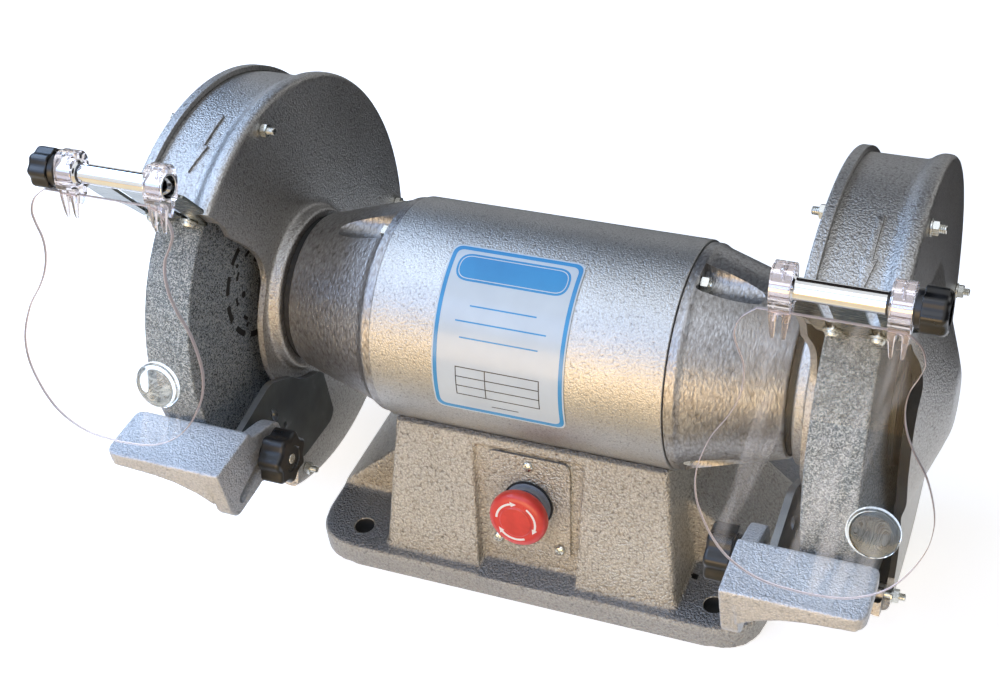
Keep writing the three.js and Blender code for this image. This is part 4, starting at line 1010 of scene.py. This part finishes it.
# Each half of each guard: its side, CAD node, profile, the opening in its wall, how far that cut runs along X,
# and for the half with the drum, how far the drum's cut runs and the bolt bosses reach. The left guard's
# drum is cast on the motor side, the right guard's on the outer side.
GUARD_PARTS = (
    ("left_guard_casting", -1, "left_guard_housing",
     [*COLLAR, (180, 145.6, 6.5), (189.5, 145.6, 5), (195, 141, 6), (232.7, 141, 0.5), (232.7, 137, 0.5),
      (184, 137, 3)], MOTOR_SIDE_OPENING, (168, 184.15), (183.9, 238), (182, 232.7)),
    ("left_guard_lid", -1, "left_guard_cover",
     [(233, 141.3, 0.3), (230.2, 141.3, 0.3), (230.2, 144.8, 0.6), (236.2, 144.8, 1.2), (237, 143.8, 1), *DOME],
     OUTER_SIDE_OPENING, (217, 262)),
    ("right_guard_lid", 1, "right_guard_wall",
     [*COLLAR, (180, 143.8, 1), (180.8, 144.8, 1.2), (186.8, 144.8, 0.6), (186.8, 141.3, 0.3), (184, 141.3, 0.3)],
     MOTOR_SIDE_OPENING, (168, 200)),
    ("right_guard_casting", 1, "right_guard_housing",
     [(184.3, 137, 0.5), (184.3, 141, 0.5), (222, 141, 6), (227.5, 145.6, 5), (237, 145.6, 6.5), *DOME,
      (233, 137, 3)], OUTER_SIDE_OPENING, (232.85, 262), (180, 233.1), (184.3, 235)),
)


def guard_shape(profile, opening, wall, drum=None, pad=None):
    """A turned guard with its wall opened at the front, its drum cut back, bolt bosses and a bracket pad."""
    body = turned(profile, 160, 1.0, 5)
    beyond = [*flowing(opening), (-110, -200), (-220, -200), (-220, 220), polar(200, DRUM_FRONT_ANGLE),
              polar(125, DRUM_FRONT_ANGLE)]
    tools = [prism(beyond, "X", *wall)]
    screws = []
    if drum:
        block = prism(rounded(rectangle(4.5, 6.25, (4.5, DRUM_RADIUS - 6.75)), 1.2), "X", *pad)
        body = joined(body, placed(block, DRUM_FRONT), *[rod("X", *pad, 6, across=at) for at in GUARD_BOLTS])
        gap = [polar(DRUM_BORE - 12, DRUM_FRONT_ANGLE), polar(220, DRUM_FRONT_ANGLE), (-260, 220),
               (-260, -200), (-110, -200), (-66, -124), (-60, -112)]
        tools.append(prism(gap, "X", *drum))
        screws = [placed(rod("Y", -20, 20, 2.2, 20, (SHIELD_MIDDLE + shift, SHIELD_SCREW_DISTANCE)), DRUM_FRONT)
                  for shift in (-SHIELD_SCREW_HALF_PITCH, SHIELD_SCREW_HALF_PITCH)]
    tools += [rod("X", 170, 260, 3.3, 24, at) for at in GUARD_BOLTS]
    return softened(combined(body, tools + screws), 0.8, 3, 40)


def inner_face(face):
    """1 for the faces that look in at the wheel and the cut edge of the outer wall's opening, which take the
    black painted shade, 0 for the rest.
    """
    middle = face.calc_center_median()
    radius = hypot(middle.y, middle.z)
    across = abs(middle.x)
    outward = face.normal.x * copysign(1, middle.x)
    radial = (face.normal.y * middle.y + face.normal.z * middle.z) / radius if radius > 1 else 0
    near_wall = outward > 0.6 and GUARD_NEAR + GUARD_WALL - 0.4 < across < GUARD_NEAR + GUARD_WALL + 1
    far_wall = outward < -0.4 and across > GUARD_FAR - GUARD_WALL - 0.4
    drum = radial < -0.6 and DRUM_BORE - 8 < radius < DRUM_BORE + 1
    cut_edge = abs(face.normal.x) < 0.2 and radius < 125 and GUARD_FAR - 5 < across
    return int(near_wall or far_wall or drum or cut_edge)


def drum_arrow(x, centre, reach):
    """Raised arrow on the drum for the wheel's direction, with a long half-wide head."""
    half, wing, neck = 2.2, 4.84, reach / 8
    outline = [(x - half, -reach), (x + half, -reach), (x + half, neck), (x + wing, neck), (x, reach),
               (x - wing, neck), (x - half, neck)]
    return softened(wrapped(prism(outline, "Z", 0, 1.7), DRUM_RADIUS - 0.3, centre), 0.3, 2, 50)


class GRINDER_OT_guards(bpy.types.Operator):
    """Builds both wheel guards, their cast arrows and their bolts"""

    bl_idname = "grinder.guards"
    bl_label = "Wheel guards"

    def execute(self, context):
        for name, side, node, *shape in GUARD_PARTS:
            # Faces inside the guard take the black painted shade.
            guard = marked(on_side(guard_shape(*shape), side), inner_face)
            piece(name, placed(guard, HEAD), ("Hammered enamel on casting", "Black painted shade"), "machine", node)
        for (name, side), arrow in zip(SIDES, ((207.0, 105, 24), (211.0, 108, 28))):
            piece(f"{name}_guard_arrow", mounted(drum_arrow(*arrow), side),
                  "Hammered enamel on casting", "machine", even=False)
        inner, outer = GUARD_NEAR - FIT, GUARD_FAR + FIT
        for name, side in SIDES:
            for number, at in enumerate(GUARD_BOLTS, 1):
                bolt = gathered(
                    rod("X", inner - 4, outer + 5, 2.5, 24), nut(inner - 4, inner, 8, 2.4),
                    threaded(inner - 4, inner - 8.5, 2.5), washer(outer, 2.6, 5.2),
                    nut(outer + 1.25, outer + 5, 8, 2.4), threaded(outer + 5, outer + 9, 2.5))
                piece(f"{name}_guard_nut_{number}", mounted(placed(bolt, moved(0, *at)), side),
                      "Zinc plate", "machine", f"{name}_guard_bolt_{number}")
        return {"FINISHED"}


# ---- tool rests
def rest_bracket():
    """Plate under the guard that carries the rest's stud, with a slot and a hole for its own screws."""
    outline = [(-72, -25.5, 3), (-78, -24.5, 3), (-124, -31, 6), (-134, -38, 8), (-138, -52, 8), (-134, -64, 8),
               (-100, -88, 10), (-60, -106, 8), (-18, -108, 5), (-12, -103, 5), (-14, -66, 2)]
    swing = [polar(63.5, 253 - i * 7) for i in range(6)]  # clear of the guard's collar
    plate = prism(rounded(outline + swing, 1.0, 5), "X", 175.2, 179.7)
    boss = rod("X", REST_LEG_FAR + FIT, 176.2, 11, 64, STUD)
    tools = [prism(capsule((-80.5, -45), (-78, -51), 3), "X", 100, 237),
             rod("X", 100, 237, 2.6, 32, (-70.7, -65)), rod("X", 100, 237, 3.9, 32, STUD)]
    return softened(combined(joined(plate, boss), tools), 0.7, 3, 40)


def tool_rest():
    """Flat rest with a thick front lip that sweeps down into the slotted clamping leg."""
    under = REST_TOP - 9
    top = prism(rounded([(REST_NEAR, REST_FRONT, 2), (REST_FAR, REST_FRONT, 9), (REST_FAR, REST_BACK, 6),
                         (REST_NEAR, REST_BACK, 2)], steps=6), "Z", under, REST_TOP)
    lip = prism([(REST_LEG_FAR - 1, under + 1), (REST_LEG_FAR - 1, under - 18), (REST_LEG_FAR + 10, under - 11),
                 (REST_LEG_FAR + 25, under - 5.5), (REST_LEG_FAR + 39, under - 3), (REST_FAR - 5, under - 1),
                 (REST_FAR - 5, under + 1)], "Y", REST_FRONT, REST_FRONT + 24)
    leg = prism(rounded([(REST_FRONT, REST_TOP - 1, 0.5), (REST_FRONT + 3, -52.5, 6), (REST_FRONT + 9, -60.5, 5),
                         (-102, -58.5, 5), (-96, -51.5, 5), (-96, -35, 5), (-103, -30, 4),
                         (REST_BACK, REST_TOP - 5, 2), (REST_BACK, REST_TOP - 1, 0.5)]), "X", REST_NEAR,
                REST_LEG_FAR)
    along = Vector(polar(1, 14))
    slot = capsule(*[Vector(STUD) + along * distance for distance in (-34, 10)], 3.9)
    return combined(cast(joined(top, lip, leg), 0.85, 5), [prism(slot, "X", 100, 237)])


def grip(radius, lobes, depth, length, start, crown):
    """A knob's lobed grip along -X, with a crowned end."""
    steps = 8
    swings = [360 * i / steps for i in range(lobes * steps)]
    outline = [polar(radius * (1 - depth + depth * cos(radians(swing))), swing / lobes) for swing in swings]
    bm = prism(outline, "X", -length, start)
    for end, width, segments in ((-length, crown, 5), (start, 0.8, 3)):
        bevelled(bm, [e for e in bm.edges if all(abs(v.co.x - end) < 1e-4 for v in e.verts)], width, segments)
    return bm


class GRINDER_OT_rests(bpy.types.Operator):
    """Builds the tool rests, their brackets and clamping knobs"""

    bl_idname = "grinder.rests"
    bl_label = "Tool rests"

    def execute(self, context):
        for name, side in SIDES:
            # The plate's edges and their rounds take the painted highlight.
            plate = marked(on_side(rest_bracket(), side), lambda face: int(abs(face.normal.x) < 0.95))
            piece(f"{name}_bracket_plate", placed(plate, HEAD), ("Charcoal paint", "Edge highlight"), "machine",
                  f"{name}_rest_bracket")
            piece(f"{name}_rest_casting", mounted(tool_rest(), side), "Light enamel on rests",
                  f"{name}_rest", f"{name}_tool_rest", angle=45, even=False)
            dish = turned([(-21, 0), (-21, 9.5), (-19.2, 8.2), (-19.2, 0)], 48)
            boss = turned([(-6, 0, 0), (-6, 14.5, 0.5), (-1.4, 12.5, 1.2), (-1.4, 0, 0)], 64, 0.5)
            knob = gathered(combined(grip(18, 7, 0.085, 20, -4, 3), [dish]), boss)
            at = HEAD @ moved(side * (REST_NEAR - FIT), *STUD)
            piece(f"{name}_rest_grip", placed(on_side(knob, side), at), "Black phenolic", f"{name}_rest_clamp",
                  f"{name}_rest_knob")
            seat = turned([(-1.4, 0, 0), (-1.4, 8.6, 0.3), (0, 8.6, 0.3), (0, 0, 0)], 48, 0.3)
            insert = turned([(-19.6, 0, 0), (-19.6, 3.4, 0.4), (-18.9, 3.6, 0.2), (-18.9, 0, 0)], 32, 0.3)
            stud = gathered(seat, insert, threaded(-0.5, 20.2, 3.6, 1.25, 0.4))
            piece(f"{name}_rest_stud", placed(on_side(stud, side), at), "Zinc plate", f"{name}_rest_clamp")
        return {"FINISHED"}


# ---- eye shields
SHEET_EDGE = [(38, 13.3), (46, 20), (49, 28.5), (47, 36), (43, 45), (42, 55), (44, 66), (49, 77), (57, 90),
              (62.5, 106), (63.8, 119), (61, 133), (52, 150), (40, 162), (22, 170), (0, 172)]


def shield_bracket():
    """Bright pressed plate with two slots, rolled at the top round the tube that the sheet turns on."""
    bottom, top, bend = 127, 187.2, 157
    plate = prism(rounded([
        (-22, bottom, 3), (22, bottom, 3), (25, bend - 8, 3), (36, bend, 3), (36, 183.2, 2), (23.5, top, 1.5),
        (23.5, 193, 0.5), (-23.5, 193, 0.5), (-23.5, top, 1.5), (-36, 183.2, 2), (-36, bend, 3),
        (-25, bend - 8, 3)], steps=5), "Y", -2.3, -0.3)
    slots = [prism(capsule((x, 126), (x, 185), 2.9), "Y", -20, 20)
             for x in (-SHIELD_SCREW_HALF_PITCH, SHIELD_SCREW_HALF_PITCH)]
    plate = marked(softened(combined(plate, slots), 0.35, 2, 40), lambda face: 1)
    half = [(ROD_HALF - 12.5, 4.8, 0.2), (ROD_HALF - 11, 6.6, 0.3), (ROD_HALF, 6.6, 0.3), (ROD_HALF, 7.9, 0.5),
            (ROD_HALF - 11, 7.9, 0.8), (ROD_HALF - 12.5, 5.9, 0.8)]
    tube = turned([(-x, r, blend) for x, r, blend in half[::-1]] + half, 64, 0.4)
    return gathered(plate, placed(tube, ROD_PLACE))


def shield_clip():
    """Clear moulded clip: a slit block clamped on the tube, and forked jaws that hold the sheet."""
    block = prism(rounded([(-8.4, -10), (8.4, -10), (9.8, 0, 6), (8.2, 9, 4), (4.6, 12.5, 2), (-4.6, 12.5, 2),
                           (-8.2, 9, 4), (-9.8, 0, 6)], 2.5, 5), "X", -5.5, 5.5)
    front = prism([(-1.8, -6), (-6.4, -6), (-5.6, -16), (-4.4, -24), (-2.9, -27.5), (-1.8, -27.5)], "X",
                  -5.4, 5.4)
    back = prism([(1.8, -6), (6.2, -6), (5.4, -14), (3.4, -19.5), (1.8, -19.5)], "X", -5.4, 5.4)
    fork = prism(rounded([(-2.3, -30), (2.3, -30), (1.9, -13.5, 1.8), (-1.9, -13.5, 1.8)]), "Y", -20, 20)
    tapers = [on_side(prism([(5.5, -12), (7, -12), (7, -30), (3.4, -30)], "Y", -20, 20), s) for s in (-1, 1)]
    slit = prism(rectangle(0.9, 6, (0, 13)), "X", -6, 6)
    screw_hole = rod("Y", -12, 12, 1.0, 16, (0, 10.6))
    bore = rod("X", -8, 8, 8.2, 64)
    return softened(combined(joined(block, front, back), [fork, *tapers, slit, screw_hole, bore]), 0.4)


def shield_sheet():
    """Clear sheet cut to a waisted outline, with its edges just broken."""
    edge = [(x * 0.998, -drop) for x, drop in flowing(SHEET_EDGE, 5)]  # just inside the solid's box
    outline = edge + [(-x, z) for x, z in edge[-2::-1]]
    return softened(prism(outline, "Y", -1.5, 1.5), 0.35, 1, 60)


def lens():
    """Small glass disc with a domed front and a ground rim, whose axis is Y."""
    dome = [(3.6 + 2.6 * cos(radians(a)), 13.4 * sin(radians(a))) for a in range(90, 0, -9)]
    return placed(turned([(0, 0), (0, 13.6), (0.8, 14.5), (3.2, 14.5), *dome, (6.2, 0)]), spun(-90, "Z"))


class GRINDER_OT_shields(bpy.types.Operator):
    """Builds the eye shields with their brackets, clips, lenses and knobs"""

    bl_idname = "grinder.shields"
    bl_label = "Eye shields"

    def execute(self, context):
        for name, side in SIDES:
            mount, axis = mount_frame(side), rod_frame(side)
            piece(f"{name}_bracket_chrome", placed(shield_bracket(), mount), ("Chrome plate", "Dull plate"),
                  f"{name}_shield_arm", f"{name}_shield_bracket")
            for number, s in ((1, -1), (2, 1)):
                head = placed(pan_screw(4, 3.2, 25 * s), moved(y=-1.2) @ spun(90, "X"))
                disc = placed(washer(0, 1.9, 5.6), spun(-90, "Z"))
                screw = gathered(head, disc, rod("Y", 9, -1, 1.9, 20))
                at = mount @ moved(s * SHIELD_SCREW_HALF_PITCH, -2.6, SHIELD_SCREW_DISTANCE)
                piece(f"{name}_bracket_screw_{number}", placed(screw, at), "Zinc plate", "machine",
                      f"{name}_shield_screw_{number}")
                piece(f"{name}_clip_{number}", placed(shield_clip(), axis @ moved(s * 30)),
                      "Moulded clear plastic", f"{name}_shield", f"{name}_shield_clip_{number}")
            hung = axis @ moved(SHEET_SHIFTS[name])
            sheet = marked(shield_sheet(), lambda face: int(abs(face.normal.y) < 0.9))
            piece(f"{name}_sheet", placed(sheet, hung), ("Clear acrylic", "Cut acrylic edge"), f"{name}_shield",
                  f"{name}_eye_shield", even=False)
            piece(f"{name}_lens_disc", placed(lens(), hung @ moved(34, -1.8, -125)), "Lens glass",
                  f"{name}_shield", f"{name}_lens")
            skirt = turned([(-4.2, 0, 0), (-4.2, 10.6, 0.4), (0, 9.7, 0.8), (0, 0, 0)], 48, 0.5)
            cap = turned([(-16.9, 0, 0), (-16.9, 7, 0.5), (-16.3, 7.8, 0.3), (-16.3, 0, 0)], 48, 0.4)
            knob = gathered(grip(12.7, 8, 0.055, 16.9, -3.4, 4), skirt, cap, rod("X", -1, 14, 6.2))
            piece(f"{name}_shield_grip", placed(on_side(knob, -side), axis @ moved(side * (ROD_HALF + FIT))),
                  "Black phenolic", f"{name}_shield_clamp", f"{name}_shield_knob")
        return {"FINISHED"}


# ---- stage
def seen_rays(add):
    """1 for rays from the camera, off metal and through glass, which see the plain white background."""
    rays = add("LightPath").outputs
    shiny = add("Math", rays["Is Glossy Ray"], rays["Is Transmission Ray"], operation="MAXIMUM")
    return add("Math", rays["Is Camera Ray"], shiny, operation="MAXIMUM")


def floor_paint(add):
    """Pale floor: its own white light where the camera, metal and glass see it, less the object's shadow."""
    matt = add("BsdfDiffuse", linear("#EDEDED"))
    both = add("AddShader", matt, add("Emission", (1, 1, 1, 1), 0.7))
    add("OutputMaterial", add("MixShader", seen_rays(add), matt, both))


def folded(add, size, stops):
    """Tones of a few soft folds."""
    fold = add("TexNoise", place_of(add), Scale=per_metre(size), Detail=2.0)
    return add("ValToRGB", fold, stops=stops)


def flag_cloth(add):
    """Dark cloth of the flags that metal mirrors: a few folds of brown-grey."""
    add("OutputMaterial", add("BsdfDiffuse", folded(add, 600, [(0.4, "#2A2624"), (0.7, "#4A423D")])))


def warm_card(add):
    """Beige card that throws a warm tone into the metal's lower front."""
    tone = folded(add, 500, [(0.4, "#E3C79A"), (0.7, "#F6DFB6")])
    add("OutputMaterial", add("AddShader", add("BsdfDiffuse", tone), add("Emission", tone, 0.55)))


def lamp(name, place, target, size, power, colour):
    """A soft rectangular lamp aimed at a point."""
    light = bpy.data.lights.new(name, "AREA")
    light.shape = "RECTANGLE"
    light.size, light.size_y = size
    light.energy = power
    light.color = linear(colour)[:3]
    made = linked(name, light)
    made.location = place
    made.rotation_euler = (Vector(target) - made.location).to_track_quat("-Z", "Y").to_euler()


def board(name, centre, target, half_width, half_height, paint, build):
    """A flat board of the stage, turned to face a point."""
    bm = bmesh.new()
    bmesh.ops.create_grid(bm, x_segments=1, y_segments=1, size=1)
    bmesh.ops.scale(bm, vec=(half_width, half_height, 1), verts=bm.verts)
    turn = (Vector(target) - Vector(centre)).to_track_quat("Z", "Y").to_matrix().to_4x4()
    mesh = mesh_of(name, placed(bm, moved(*centre) @ turn))
    mesh.materials.append(material(paint, build))
    made = linked(name, mesh)
    return made


def flag(name, centre, target, half_width, half_height, cloth="Flag cloth", build=flag_cloth):
    """A board that only reflections see."""
    made = board(name, centre, target, half_width, half_height, cloth, build)
    for rays in ("camera", "diffuse", "shadow", "transmission"):
        setattr(made, "visible_" + rays, False)


class GRINDER_OT_stage(bpy.types.Operator):
    """Sets the floor, world, lamps and camera"""

    bl_idname = "grinder.stage"
    bl_label = "Stage"

    def execute(self, context):
        scene = context.scene
        scene.view_settings.view_transform = "Standard"

        azimuth, elevation, roll = 23.8, 39.7, -5.6
        optics = bpy.data.cameras.new("Camera")
        optics.sensor_width, optics.lens = 36, scene.grinder_sizes.focal_length
        optics.shift_x, optics.shift_y = -0.0765, -0.0145
        optics.clip_start, optics.clip_end = 0.05, 60
        scene.camera = linked("Camera", optics)
        scene.camera.matrix_world = (moved(0.3377, -0.7309, 0.8268) @ spun(azimuth, "Z")
                                     @ spun(90 - elevation, "X") @ spun(roll, "Z"))

        world = bpy.data.worlds.new("Studio")
        world.use_nodes = True
        world.node_tree.nodes.clear()
        add = partial(add_node, world.node_tree)
        soft, white = add("Background", linear("#E6EAF0"), 0.22), add("Background", (1, 1, 1, 1), 1.0)
        add("OutputWorld", add("MixShader", seen_rays(add), soft, white))
        scene.world = world

        lamp("Key", (-0.6, -1.2, 1.25), (0, 0, 0.16), (1.6, 0.7), 8.8, "#8CBCFF")
        lamp("Over left", (-1.2, 0.1, 1.3), (-0.2, 0, 0.3), (1.7, 0.8), 24, "#BAD6FF")
        lamp("Low fill", (-0.15, -2.0, 0.42), (0, 0, 0.12), (2.0, 0.9), 23, "#FFD28C")
        lamp("Top", (0.1, -0.6, 1.9), (0, 0, 0.2), (1.2, 0.8), 6, "#DCE8FF")
        board("floor", (0, 0, 0), (0, 0, 1), 12, 12, "Floor", floor_paint)
        flag("Flag behind", (-0.5, 1.3, 1.25), (0, 0, 0.2), 1.9, 0.85)
        flag("Flag right", (1.9, 0.1, 0.6), (0, 0, 0.2), 1.3, 0.8)
        flag("Flag left", (-1.9, 0.2, 0.6), (0, 0, 0.2), 1.1, 0.7)
        flag("Flag on floor", (0.3, 1.1, 0.004), (0.3, 1.1, 1), 1.6, 0.85)
        # A dark strip on the floor before the base, seen only in reflections: a painted shadow that the flange's
        # front edge mirrors.
        flag("Shadow flag before the base", (0, -0.25, 0.003), (0, -0.25, 1), 0.3, 0.085)
        flag("Card on floor", (0, -1.02, 0.004), (0, -1.02, 1), 1.5, 0.82, "Warm card", warm_card)
        return {"FINISHED"}


# ---- add-on
class GrinderSizes(bpy.types.PropertyGroup):
    """Sizes that can be changed before the pieces are built"""

    wheel_radius: FloatProperty(
        name="Wheel radius", description="Radius of both grinding wheels", default=radius_of("left_wheel"),
        min=0.05, unit="LENGTH")
    motor_radius: FloatProperty(
        name="Motor radius", description="Outer radius of the motor's shell", default=radius_of("motor_shell"),
        min=0.03, unit="LENGTH")
    focal_length: FloatProperty(
        name="Focal length", description="Focal length of the camera in millimetres", default=57.66, min=20,
        unit="CAMERA")


class GrinderColours(bpy.types.PropertyGroup):
    """Colours that can be changed before the pieces are built"""

    enamel: FloatVectorProperty(
        name="Enamel", description="Lightest tone of the hammered enamel", subtype="COLOR", size=3,
        default=linear("#BDBDBA")[:3], min=0, max=1)
    stop_button: FloatVectorProperty(
        name="Stop button", description="Colour of the stop button's cap", subtype="COLOR", size=3,
        default=linear("#DA3A30")[:3], min=0, max=1)
    label: FloatVectorProperty(
        name="Label print", description="Colour of the label's border and header", subtype="COLOR", size=3,
        default=linear("#2E93C9")[:3], min=0, max=1)


class GRINDER_PT_panel(bpy.types.Panel):
    """Lists the grinder's sizes, colours and pieces"""

    bl_idname = "GRINDER_PT_panel"
    bl_label = "Bench grinder"
    bl_space_type = "VIEW_3D"
    bl_region_type = "UI"
    bl_category = "Grinder"

    def draw(self, context):
        layout = self.layout
        for group in (context.scene.grinder_sizes, context.scene.grinder_colours):
            box = layout.box()
            for name in group.__annotations__:
                box.prop(group, name)
        for operator in OPERATORS:
            layout.operator(operator.bl_idname)


OPERATORS = (GRINDER_OT_stage, GRINDER_OT_base, GRINDER_OT_switch, GRINDER_OT_motor, GRINDER_OT_label,
             GRINDER_OT_rotor, GRINDER_OT_guards, GRINDER_OT_rests, GRINDER_OT_shields)
CLASSES = (GrinderSizes, GrinderColours, *OPERATORS, GRINDER_PT_panel)


def register():
    """Registers the classes and hangs the settings on the scene."""
    for each in CLASSES:
        bpy.utils.register_class(each)
    bpy.types.Scene.grinder_sizes = PointerProperty(type=GrinderSizes)
    bpy.types.Scene.grinder_colours = PointerProperty(type=GrinderColours)


def unregister():
    """Removes what register added."""
    del bpy.types.Scene.grinder_colours
    del bpy.types.Scene.grinder_sizes
    for each in reversed(CLASSES):
        bpy.utils.unregister_class(each)


def main():
    register()
    for operator in OPERATORS:
        group, name = operator.bl_idname.split(".")
        getattr(getattr(bpy.ops, group), name)()


if __name__ == "__main__":
    main()
